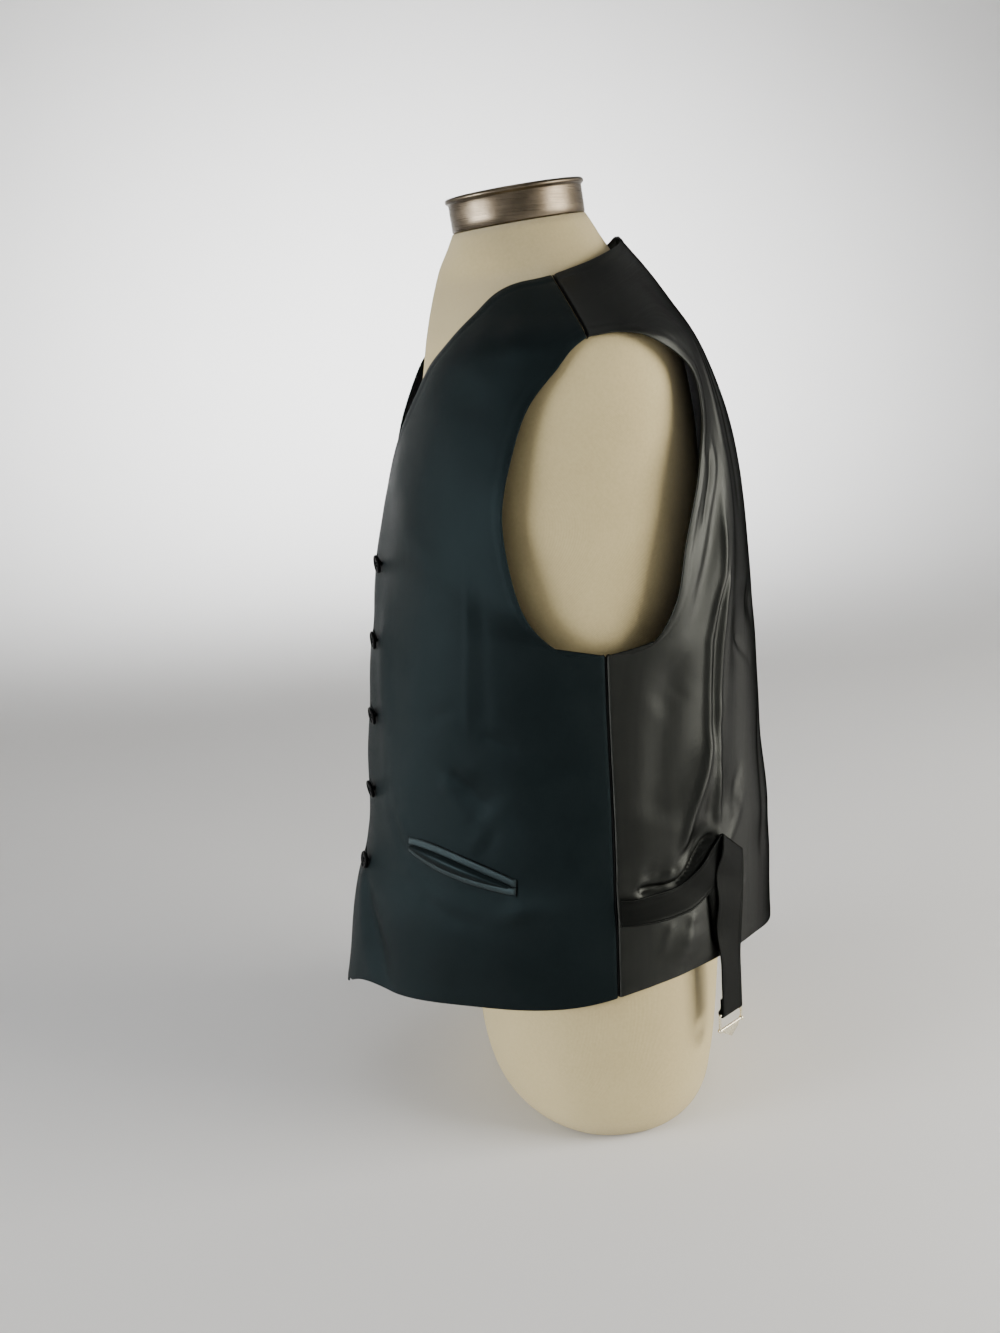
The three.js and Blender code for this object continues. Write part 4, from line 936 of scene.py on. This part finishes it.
# The adjuster straps: sewn part, diagonal fold and hanging end, with edges given by angle and height.
strap = {
    'wall': 1.5, 'foldRadius': 1.15, 'endHeight': 93,
    'sewn': [(91.4, 210, 91.4, 188.5), (96, 209, 97, 187.5), (101.5, 208.5, 103.5, 187), (106, 208.8, 109, 187.5),
             (110.3, 210, 115, 190), (113.9, 215, 120.5, 196), (117.6, 223.5, 125, 205), (121, 234, 129.5, 213),
             (123.7, 243, 133.5, 222)],
    'hang': [(123.6, 230, 133.4, 210, 4.6), (123.8, 212, 133, 196, 5), (124, 190, 132.6, 180, 5.4),
             (124, 166, 132.2, 160, 5.8), (124, 140, 132, 138, 6.2)],
}
buckle = {'bar': 1.0, 'clear': 0.35, 'drop': 13.0, 'knob': 1.9, 'sideGap': 0.6, 'plateDrop': 10.0,
          'plateWall': 1.4}
loopRadius = buckle['bar'] + buckle['clear'] + strap['wall'] / 2


def turned(row, normal, away, radius, steps):
    stations = []
    for i in range(1, steps):
        turn = math.pi * i / steps
        stations.append(row + normal * radius * (1 - math.cos(turn)) + away * radius * math.sin(turn))
    return stations


def strapStations(side):
    lift = layGap + strap['wall'] / 2
    sewn = [np.array([clothPoint(side * a, h, lift + 1.3), clothPoint(side * c, g, 0.5 * lift + 0.3)])
            for a, h, c, g in strap['sewn']]
    a, h, c, g = strap['sewn'][-1]
    normal = outward(foldedPoint, np.array(side * (a + c) / 2), np.array((h + g) / 2))
    foldRow = sewn[-1]
    away = unit(np.cross(foldRow[1] - foldRow[0], normal))
    away = -away if away[2] < 0 else away
    fold = turned(foldRow, normal, away, strap['foldRadius'], 10)
    hang = [np.array([clothPoint(side * a, h, out), clothPoint(side * c, g, out)])
            for a, h, c, g, out in strap['hang']]
    drop = []
    for height in (120, 106, strap['endHeight']):
        row = hang[-1].copy()
        row[:, 2] = height
        drop.append(row)
    return sewn, fold, hang, drop


def loopStations(endRow):
    across = unit(endRow[1] - endRow[0])
    out = unit(np.cross(across, (0, 0, 1)))
    out = -out if out[1] < 0 else out
    loop = turned(endRow, -out, np.array((0, 0, -1.0)), loopRadius, 10)
    tail = [endRow - out * back + np.array((0, 0, rise)) for rise, back in
            ((1.5, 2 * loopRadius), (5, strap['wall'] + 0.7), (13, strap['wall'] + layGap))]
    middle = endRow.mean(axis=0) - out * loopRadius
    return loop, tail, middle, across, out


def smoothRun(rows, spacing):
    rows = np.asarray(rows)
    middle = rows.mean(axis=1)
    run = np.concatenate([[0], np.cumsum(np.linalg.norm(np.diff(middle, axis=0), axis=-1))])
    wanted = np.linspace(0, run[-1], max(int(run[-1] / spacing), 2))
    flat = np.column_stack([run, rows.reshape(len(rows), -1)])
    names = 'run ' + ' '.join(f'v{i}' for i in range(6))
    found = smoothTable({'columns': names, 'rows': flat})(wanted)
    return np.stack([found[f'v{i}'] for i in range(6)], axis=-1).reshape(-1, 2, 3), wanted


def ribbon(name, rows, run, wall, paint):
    centres = rows.mean(axis=1)
    tangent = unit(np.gradient(centres, axis=0))
    normal = unit(np.cross(rows[:, 1] - rows[:, 0], tangent))
    width = np.linalg.norm(rows[:, 1] - rows[:, 0], axis=-1)
    near = np.array([0, 0.006, 0.02, 0.04, 0.06, 0.08, 0.1, 0.12, 0.15])
    across = np.concatenate([near, np.linspace(0.2, 0.8, 13), (1 - near)[::-1]])
    inset = np.minimum(across, 1 - across)[None, :] * width[:, None]
    half = wall / 2
    bulge = np.sqrt(np.clip(1 - (1 - np.minimum(inset / half, 1)) ** 2, 0, 1)) * half
    fromRight = (1 - across)[None, :] * width[:, None]
    for at, size, spread in ((0.8, 0.16, 0.6), (2.4, 0.18, 0.7), (1.6, -0.2, 0.45)):
        bulge = bulge + size * (np.exp(-((fromRight - at) / spread) ** 2) + 0.6 * np.exp(-((inset - at) / spread) ** 2))
    points = rows[:, :1] + (rows[:, 1:] - rows[:, :1]) * across[None, :, None]
    top = points + normal[:, None] * bulge[..., None]
    low = points - normal[:, None] * bulge[..., None]
    sections = np.concatenate([top, low[:, -2:0:-1]], axis=1)
    reach = np.concatenate([across, across[-2:0:-1]])[None, :] * width[:, None]
    places = np.stack([reach, run[:, None] + 0 * reach], axis=-1).reshape(-1, 2)
    return sweptTube(name, sections, paint, places)


def makeStrap(name, side, withLoop):
    sewn, fold, hang, drop = strapStations(side)
    rows = [*sewn, *fold, *hang, *drop]
    if withLoop:
        loop, tail, *_ = loopStations(drop[-1])
        rows += [*loop, *tail]
    rows, run = smoothRun(rows, 1.1)
    made = ribbon(name, rows, run, strap['wall'], paints['strap'])
    return made, run[-1], rows


strapLeft, strapLeftLength, strapLeftRows = makeStrap('left_strap_cloth', 1, True)
strapRight, strapRightLength, strapRightRows = makeStrap('right_strap_cloth', -1, False)
standFor(strapLeft, 'strap_left')
standFor(strapRight, 'strap_right')
print('straps', round(strapLeftLength, 1), round(strapRightLength, 1))


# Turned and round pieces.
def latheFaces(rings, columns):
    faces = gridFaces(rings, columns, closed=True).tolist()
    faces.append(list(range(columns))[::-1])
    faces.append([(rings - 1) * columns + i for i in range(columns)])
    return faces


def lathe(profile, columns):
    turn = np.linspace(0, 2 * math.pi, columns, endpoint=False)
    radius = np.array([p[0] for p in profile])[:, None]
    level = np.array([p[1] for p in profile])[:, None]
    return np.stack([radius * np.cos(turn), radius * np.sin(turn), level + 0 * turn], axis=-1).reshape(-1, 3)


def frameAt(origin, axisX, axisZ):
    axisZ = unit(np.asarray(axisZ, dtype=float))
    axisY = unit(np.cross(axisZ, axisX))
    axisX = np.cross(axisY, axisZ)
    return np.stack([axisX, axisY, axisZ]), np.asarray(origin)


def joinParts(name, parts, paint):
    points, faces, start = [], [], 0
    for partPoints, partFaces in parts:
        points.append(np.asarray(partPoints))
        faces += [[i + start for i in face] for face in partFaces]
        start += len(partPoints)
    made = addMesh(name, np.concatenate(points), faces, paint)
    return made


def tubePart(path, radius, columns=10):
    path = np.asarray(path, dtype=float)
    tangent = unit(np.gradient(path, axis=0))
    helper = np.where(np.abs(tangent[:, 2:3]) < 0.9, (0, 0, 1.0), (1.0, 0, 0))
    sideways = unit(np.cross(tangent, helper))
    upward = np.cross(sideways, tangent)
    turn = np.linspace(0, 2 * math.pi, columns, endpoint=False)
    ring = sideways[:, None] * np.cos(turn)[None, :, None] + upward[:, None] * np.sin(turn)[None, :, None]
    points = path[:, None] + ring * np.asarray(radius).reshape(-1, 1, 1)
    return points.reshape(-1, 3), latheFaces(len(path), columns)


button = {'radius': 7.5, 'height': 3.0, 'shank': 0.45, 'hang': math.radians(12), 'across': 24.0, 'top': 453.0, 'step': 61.7, 'count': 5,
          'hole': 0.75, 'holeAt': 1.45}


def makeButton(i):
    height = button['top'] - i * button['step']
    angle = float(angleAcross(button['across'], height, False))
    normal = outward(foldedPoint, np.array(angle), np.array(height))
    lift = button['shank'] + button['radius'] * math.sin(button['hang'])
    origin = clothPoint(angle, height, lift)
    level = Vector(unit(np.cross((0, 0, 1), normal)))
    faces = Matrix.Rotation(button['hang'], 3, level) @ Vector(normal)
    basis, origin = frameAt(origin, (0, 0, 1), faces)
    r, h = button['radius'], button['height']
    profile = [(0.4, 0), (r - 2.2, 0), (r - 1.0, 0.25), (r - 0.35, 0.75), (r, 1.45), (r - 0.08, 2.1), (r - 0.5, 2.7),
               (r - 1.1, h), (r - 1.7, h - 0.12), (r - 2.2, h - 0.55), (r - 2.8, h - 0.8), (r - 3.6, h - 0.85),
               (0.4, h - 0.8)]
    body = addMesh(f'button_body_{i + 1}', lathe(profile, 48) @ basis + origin, latheFaces(len(profile), 48),
                   paints['horn'])
    faceOutward(body)
    holes = [(button['holeAt'] * x, button['holeAt'] * y) for x, y in ((1, 1), (-1, 1), (-1, -1), (1, -1))]
    cutters = []
    for x, y in holes:
        pin = lathe([(button['hole'], -1), (button['hole'], h + 1)], 14) + np.array((x, y, 0))
        cutters.append((pin @ basis + origin, latheFaces(2, 14)))
    cutter = joinParts('holeCutter', cutters, paints['horn'])
    faceOutward(cutter)
    cut = body.modifiers.new('holes', 'BOOLEAN')
    cut.operation, cut.solver, cut.object = 'DIFFERENCE', 'EXACT', cutter
    graph = bpy.context.evaluated_depsgraph_get()
    mesh = bpy.data.meshes.new_from_object(body.evaluated_get(graph))
    body.modifiers.clear()
    body.data = mesh
    bpy.data.objects.remove(cutter)
    threads = []
    for (ax, ay), (bx, by) in ((holes[0], holes[2]), (holes[1], holes[3])):
        for aside in (-0.22, 0.22):
            t = np.linspace(-1, 1, 15)
            x = (ax + bx) / 2 + (bx - ax) / 2 * t + aside * (1 if ay > 0 else -1)
            y = (ay + by) / 2 + (by - ay) / 2 * t - aside * (1 if ax > 0 else -1)
            z = h - 0.55 + 0.22 * (1 - t ** 2) - 1.9 * np.clip(np.abs(t) - 0.86, 0, 1) / 0.14
            threads.append(tubePart(np.column_stack([x, y, z]), 0.22, 6))
    shank = tubePart([(0, 0, -lift - 0.6), (0, 0, -0.2), (0, 0, 0.3)], (1.3, 1.1, 1.2), 12)
    threads.append(shank)
    parts = [(points @ basis + origin, faces) for points, faces in threads]
    sewing = joinParts(f'button_thread_{i + 1}', parts, paints['thread'])
    standFor(body, f'button_{i + 1}')
    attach(sewing, garmentBody)


for i in range(button['count']):
    makeButton(i)
print('buttons made')


# Sewing: threads set along a run of points, each lying in the direction given for its point.
sewn = {'Spacing': 0.00085, 'Length': 0.0019, 'Radius': 0.00022, 'Unevenness': 0.16, 'Seed': 11}


def stitchNodes():
    group = bpy.data.node_groups.new('stitchRun', 'GeometryNodeTree')
    group.interface.new_socket('Geometry', in_out='INPUT', socket_type='NodeSocketGeometry')
    for name, value in sewn.items():
        kind = 'NodeSocketInt' if isinstance(value, int) else 'NodeSocketFloat'
        group.interface.new_socket(name, in_out='INPUT', socket_type=kind)
    group.interface.new_socket('Thread', in_out='INPUT', socket_type='NodeSocketMaterial')
    group.interface.new_socket('Geometry', in_out='OUTPUT', socket_type='NodeSocketGeometry')
    given = group.nodes.new('NodeGroupInput').outputs

    def node(kind, settings, inputs):
        made = group.nodes.new(kind)
        for key, value in settings.items():
            setattr(made, key, value)
        for key, value in inputs.items():
            if hasattr(value, 'is_output'):
                group.links.new(value, made.inputs[key])
            else:
                made.inputs[key].default_value = value
        return made.outputs

    run = node('GeometryNodeMeshToCurve', {}, {0: given['Geometry']})
    spaced = node('GeometryNodeResampleCurve', {'mode': 'LENGTH'}, {0: run[0], 'Length': given['Spacing']})
    lie = node('GeometryNodeInputNamedAttribute', {'data_type': 'FLOAT_VECTOR'}, {0: 'lie'})
    turn = node('FunctionNodeAlignRotationToVector', {'axis': 'Z'}, {'Vector': lie[0]})
    low = node('ShaderNodeMath', {'operation': 'SUBTRACT'}, {0: 1.0, 1: given['Unevenness']})
    high = node('ShaderNodeMath', {'operation': 'ADD'}, {0: 1.0, 1: given['Unevenness']})
    vary = node('FunctionNodeRandomValue', {'data_type': 'FLOAT'}, {2: low[0], 3: high[0], 'Seed': given['Seed']})
    half = node('ShaderNodeMath', {'operation': 'DIVIDE'}, {0: given['Length'], 1: given['Radius']})
    reach = node('ShaderNodeMath', {'operation': 'MULTIPLY'}, {0: half[0], 1: vary[1]})
    slim = node('ShaderNodeMath', {'operation': 'MULTIPLY'}, {0: reach[0], 1: 0.5})
    size = node('ShaderNodeCombineXYZ', {}, {'X': 1.0, 'Y': 1.0, 'Z': slim[0]})
    thread = node('GeometryNodeMeshUVSphere', {}, {'Segments': 8, 'Rings': 6, 'Radius': given['Radius']})
    laid = node('GeometryNodeInstanceOnPoints', {},
                {'Points': spaced[0], 'Instance': thread[0], 'Rotation': turn[0], 'Scale': size[0]})
    plain = node('GeometryNodeRealizeInstances', {}, {0: laid[0]})
    painted = node('GeometryNodeSetMaterial', {}, {0: plain[0], 'Material': given['Thread']})
    smooth = node('GeometryNodeSetShadeSmooth', {}, {0: painted[0]})
    end = group.nodes.new('NodeGroupOutput')
    group.links.new(smooth[0], end.inputs[0])
    return group


stitchGroup = stitchNodes()


def sew(name, runs, slotName, **values):
    points, lies, edges = [], [], []
    for places, directions in runs:
        start = len(points)
        points += (np.asarray(places) * 0.001).tolist()
        lies += np.broadcast_to(directions, np.shape(places)).tolist()
        edges += [(start + i, start + i + 1) for i in range(len(places) - 1)]
    mesh = bpy.data.meshes.new(name)
    mesh.from_pydata(points, edges, [])
    mesh.attributes.new('lie', 'FLOAT_VECTOR', 'POINT').data.foreach_set('vector', np.ravel(lies))
    made = bpy.data.objects.new(name, mesh)
    bpy.context.scene.collection.objects.link(made)
    modifier = made.modifiers.new('stitches', 'NODES')
    modifier.node_group = stitchGroup
    for socket in stitchGroup.interface.items_tree:
        if socket.in_out == 'INPUT' and socket.name != 'Geometry':
            value = paints['thread'] if socket.name == 'Thread' else values.get(socket.name, sewn.get(socket.name))
            modifier[socket.identifier] = value
    graph = bpy.context.evaluated_depsgraph_get()
    plain = bpy.data.meshes.new_from_object(made.evaluated_get(graph), depsgraph=graph)
    made.modifiers.clear()
    made.data = plain
    plain.name = name
    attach(made, garmentBody)
    return made


def clothRun(angles, heights, lift):
    angles, heights = np.asarray(angles, dtype=float), np.asarray(heights, dtype=float)
    return clothPoint(angles, heights, lift)


def upAlong(angle, height):
    return unit(foldedPoint(angle, height + 1) - foldedPoint(angle, height - 1))


def sewButtonholes():
    runs = []
    for i in range(button['count']):
        level = button['top'] - i * button['step']
        t = np.linspace(0, 1, 12)
        height = level + 4.2 * (1 - t) ** 1.5
        angle = angleAcross(6.5 + 18.0 * t, height, False)
        along = clothRun(angle, height, 0.12)
        upward = upAlong(angle, height)
        runs += [(along + 0.95 * upward, upward), (along - 0.95 * upward, upward)]
        bar = np.linspace(-1.7, 1.7, 6)[:, None] * upward[0] + along[0]
        runs.append((bar, along[1] - along[0]))
    return sew('buttonhole_stitches', runs, 'front_cloth', Spacing=0.0006, Length=0.0017)


def sewPocketEnds():
    runs = []
    for side in (1, -1):
        for t in (-0.035, 1.035):
            angle = side * (pocket['frontAngle'] + (pocket['sideAngle'] - pocket['frontAngle']) * t)
            middle = pocket['frontHeight'] + (pocket['sideHeight'] - pocket['frontHeight']) * t
            heights = np.linspace(middle - 6.6, middle + 6.6, 10)
            bar = clothRun(angle + 0 * heights, heights, 0.2)
            across = foldedPoint(angle + 0.4, middle) - foldedPoint(angle - 0.4, middle)
            runs.append((bar, across))
    return sew('pocket_bar_tacks', runs, 'front_cloth', Spacing=0.0004, Length=0.0016)


# Black stitches along the jets' outer seams, set so close that they draw a near-continuous black line: partly real
# stitching, partly a painted seam shadow.
def sewPocketSeamShadeLines():
    runs = []
    for side, gape in gapes.items():
        t = np.linspace(0, 1, 60)
        angle, low, high = mouthLine(t, gape)
        for height in (low - pocket['jetHeight'] - 0.35, high + pocket['jetHeight'] + 0.35):
            line = clothRun(side * angle, height, 0.08)
            runs.append((line, np.gradient(line, axis=0)))
    return sew('pocket_seam_shade_stitches', runs, 'jet_cloth', Spacing=0.0016, Length=0.0017, Radius=0.0003)


def sewStraps():
    runs = []
    for rows in (strapLeftRows, strapRightRows):
        middle = rows.mean(axis=1)
        tangent = unit(np.gradient(middle, axis=0))
        across = unit(rows[:, 1] - rows[:, 0])
        normal = unit(np.cross(across, tangent))
        face = 0.5 * strap['wall'] + 0.02
        level = int(np.argmin(np.abs(middle[:, 2] - (strap['endHeight'] + 9)) + 99 * (np.arange(len(rows)) < 60)))
        stop = level + 2
        for edge, inset in ((rows[:, 0], 1.6), (rows[:, 1], -1.6)):
            line = edge + across * inset + normal * face
            runs.append((line[3:stop], tangent[3:stop]))
        for lean in (-1.5, 1.5):
            t = np.linspace(0.1, 0.9, 8)[:, None]
            cross = rows[level, 0] + (rows[level, 1] - rows[level, 0]) * t + normal[level] * face
            cross = cross + np.array((0, 0, 1.0)) * lean * (t - 0.5) * 2
            runs.append((cross, cross[-1] - cross[0]))
    return sew('strap_stitches', runs, 'back_satin', Spacing=0.0026, Length=0.0019, Radius=0.0002)


def sewSeams():
    parts = []
    last = len(frontRows['rows']) - 1
    for side in (1, -1):
        for across, upward in ((np.array([1.0]), np.linspace(0.004, 9 / last, 90)),
                               (np.linspace(0.01, 0.99, 50), np.array([1.0]))):
            angle, height = panelPlaces(frontRows, hemLifts['front'], False, side, across, upward)
            parts.append(tubePart(clothPoint(angle.ravel(), height.ravel(), -1.25), 0.55, 8))
    heights = np.linspace(119, 689, 110)
    parts.append(tubePart(clothPoint(180 + 0 * heights, heights, -1.25), 0.55, 8))
    made = joinParts('seam_thread', parts, paints['thread'])
    faceOutward(made)
    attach(made, garmentBody)
    return made


stitched = [sewButtonholes(), sewPocketEnds(), sewPocketSeamShadeLines(), sewStraps(), sewSeams()]
print('sewing made', sum(len(made.data.polygons) for made in stitched))


def makeBuckle():
    endRow = strapStations(1)[3][-1]
    _, _, middle, across, out = loopStations(endRow)
    half = np.linalg.norm(endRow[1] - endRow[0]) / 2 + buckle['sideGap'] + buckle['bar']
    bar, drop = buckle['bar'], buckle['drop']
    basis = np.stack([across, out, np.array((0, 0, 1.0))])
    parts = []
    corner = 1.6
    arc = [(math.cos(a), math.sin(a)) for a in np.linspace(0, math.pi / 2, 7)]
    # One wire: down the left post, along under, up the right post and back through the strap's loop.
    ring = [(half - corner + corner * c, 0, -corner + corner * s) for c, s in arc]
    ring += [(-(half - corner + corner * c), 0, -corner + corner * s) for c, s in reversed(arc)]
    ring += [(-half, 0, z) for z in np.linspace(-corner - 1, -drop, 8)]
    left = ring
    wire = [(half, 0, -drop)] + [(half, 0, z) for z in np.linspace(-drop + 1.5, -corner - 1, 7)] + left
    parts.append(tubePart(wire, bar, 16))
    parts.append(tubePart([(x, 0, -drop) for x in np.linspace(-half - 0.5, half + 0.5, 12)], bar * 1.02, 16))
    for x in (-half, half):
        t = np.linspace(0, math.pi, 15)
        knob = [(buckle['knob'] * math.sin(a) + 0.02, buckle['knob'] * math.cos(a)) for a in t]
        points = lathe(knob, 24)
        parts.append((points[:, [2, 0, 1]] * (1.05, 1, 1) + np.array((x, 0, -drop)), latheFaces(15, 24)))
    outline = [(-half + 3, 0.2), (half - 3, 0.2), (half - 3.6, -2.2), (half - 4.6, -3.6), (0.7, -buckle['plateDrop'] + 0.5),
               (0, -buckle['plateDrop']), (-0.7, -buckle['plateDrop'] + 0.5), (-half + 4.6, -3.6), (-half + 3.6, -2.2)]
    outline = np.array(outline)
    centre = outline.mean(axis=0)
    levels = [(-0.7, 0.93), (-0.5, 1.0), (0.5, 1.0), (0.7, 0.93)]
    plate = np.array([[((x - centre[0]) * s + centre[0], y, (z - centre[1]) * s + centre[1] - drop)
                       for x, z in outline] for y, s in levels])
    parts.append((plate.reshape(-1, 3), latheFaces(4, len(outline))))
    made = joinParts('buckle_metal', [(points @ basis + middle, faces) for points, faces in parts], paints['gold'])
    shape = bmesh.new()
    shape.from_mesh(made.data)
    bmesh.ops.recalc_face_normals(shape, faces=shape.faces)
    shape.to_mesh(made.data)
    shape.free()
    standFor(made, 'buckle', 'buckle')


makeBuckle()

formSections = {
    'columns': 'height front back halfWidth sideY frontPower backPower',
    'rows': [
        (0, -66, 76, 139, 4, 2.2, 2.2), (3, -76, 86, 149, 4, 2.2, 2.2), (12, -86, 94, 157, 4, 2.2, 2.2),
        (28, -92, 98, 161, 4, 2.2, 2.2), (50, -95, 102, 162, 4, 2.2, 2.2), (85, -96, 107, 163, 4, 2.1, 2.1),
        (125, -97, 111, 163, 4, 2, 2), (170, -97, 108, 161, 4, 2, 2), (220, -95, 97, 153, 4, 2, 2),
        (275, -94, 88, 145, 4, 2, 2), (330, -98, 87, 146, 4, 2, 2.1), (385, -107, 92, 154, 5, 2, 2.1),
        (440, -114, 101, 161, 5, 2, 2.2), (490, -115, 107, 164, 6, 2, 2.2), (535, -111, 107, 160, 7, 2, 2.2),
        (575, -106, 103, 156, 8, 1.9, 2.2), (604, -101, 97, 153.5, 8, 1.8, 2.2), (622, -98, 90, 147.5, 8, 1.7, 2.2),
        (640, -94, 82, 123.5, 3, 1.6, 2.1), (655, -90, 72, 100, -2, 1.5, 2), (668, -86, 61, 79.5, -6, 1.5, 2),
        (680, -82, 51, 69, -12, 1.7, 2), (692, -77, 42, 60, -17, 2, 2), (706, -71, 33, 52, -19, 2, 2),
    ],
}
capTilt = math.radians(5.4)


def makeForm():
    heights = np.concatenate([[0, 0.4, 1.0, 1.8, 3, 4.5, 6.5, 9, 12, 16, 21, 28], np.linspace(34, 700, 150), [706]])
    columns = 200
    section = {name: values[:, None] for name, values in smoothTable(formSections)(heights).items()}
    angle = (-180 + 360 * (np.arange(columns) + 0.5) / columns)[None, :]
    points = levelPoint(section, angle, heights[:, None])
    t = np.clip((heights - 668) / 38, 0, 1)[:, None]
    lean = math.tan(capTilt) * t * t * (3 - 2 * t)
    points[..., 2] += lean * (points[..., 1] - section['sideY'])
    arcs = np.linalg.norm(np.diff(points, axis=1, append=points[:, :1]), axis=-1).cumsum(axis=1)
    places = np.stack([arcs, heights[:, None] + 0 * arcs], axis=-1).reshape(-1, 2)
    made = addMesh('form_jersey_cover', points.reshape(-1, 3), latheFaces(len(heights), columns),
                   paints['jersey'], places)
    faceOutward(made)
    standFor(made, 'form_torso')


cap = {'radius': 52, 'rim': 54, 'height': 26, 'y': -19, 'z': 706.4}


def makeCap():
    r, rim, h = cap['radius'], cap['rim'], cap['height']
    profile = [(0.5, 0), (r - 1.5, 0), (r - 0.5, 0.3), (r, 1.0), (r, 8), (r, 15), (r, h - 5.4), (r + 0.3, h - 4.6),
               (rim - 0.5, h - 3.6), (rim, h - 2.9), (rim + 0.1, h - 1.8), (rim - 0.3, h - 0.8), (rim - 1.0, h - 0.15),
               (rim - 1.8, h), (rim - 2.8, h - 0.2), (rim - 3.8, h - 1.0), (rim - 4.6, h - 1.5), (30, h - 1.5),
               (0.5, h - 1.5)]
    tilt = np.array(Matrix.Rotation(capTilt, 3, 'X'))
    points = lathe(profile, 144) @ tilt.T + np.array((0, cap['y'], cap['z']))
    made = addMesh('neck_cap_steel', points, latheFaces(len(profile), 144), paints['steel'])
    faceOutward(made)
    standFor(made, 'form_neck_cap')


makeForm()
makeCap()
print('form and cap made')

for panel in panels:
    min(max(panel['area'] * 1.04, 0.31 * panel['flat'][0] * panel['flat'][1]),
                      panel['flat'][0] * panel['flat'][1])
strapLeftLength / 1000
strapRightLength / 1000

print('scene finished')
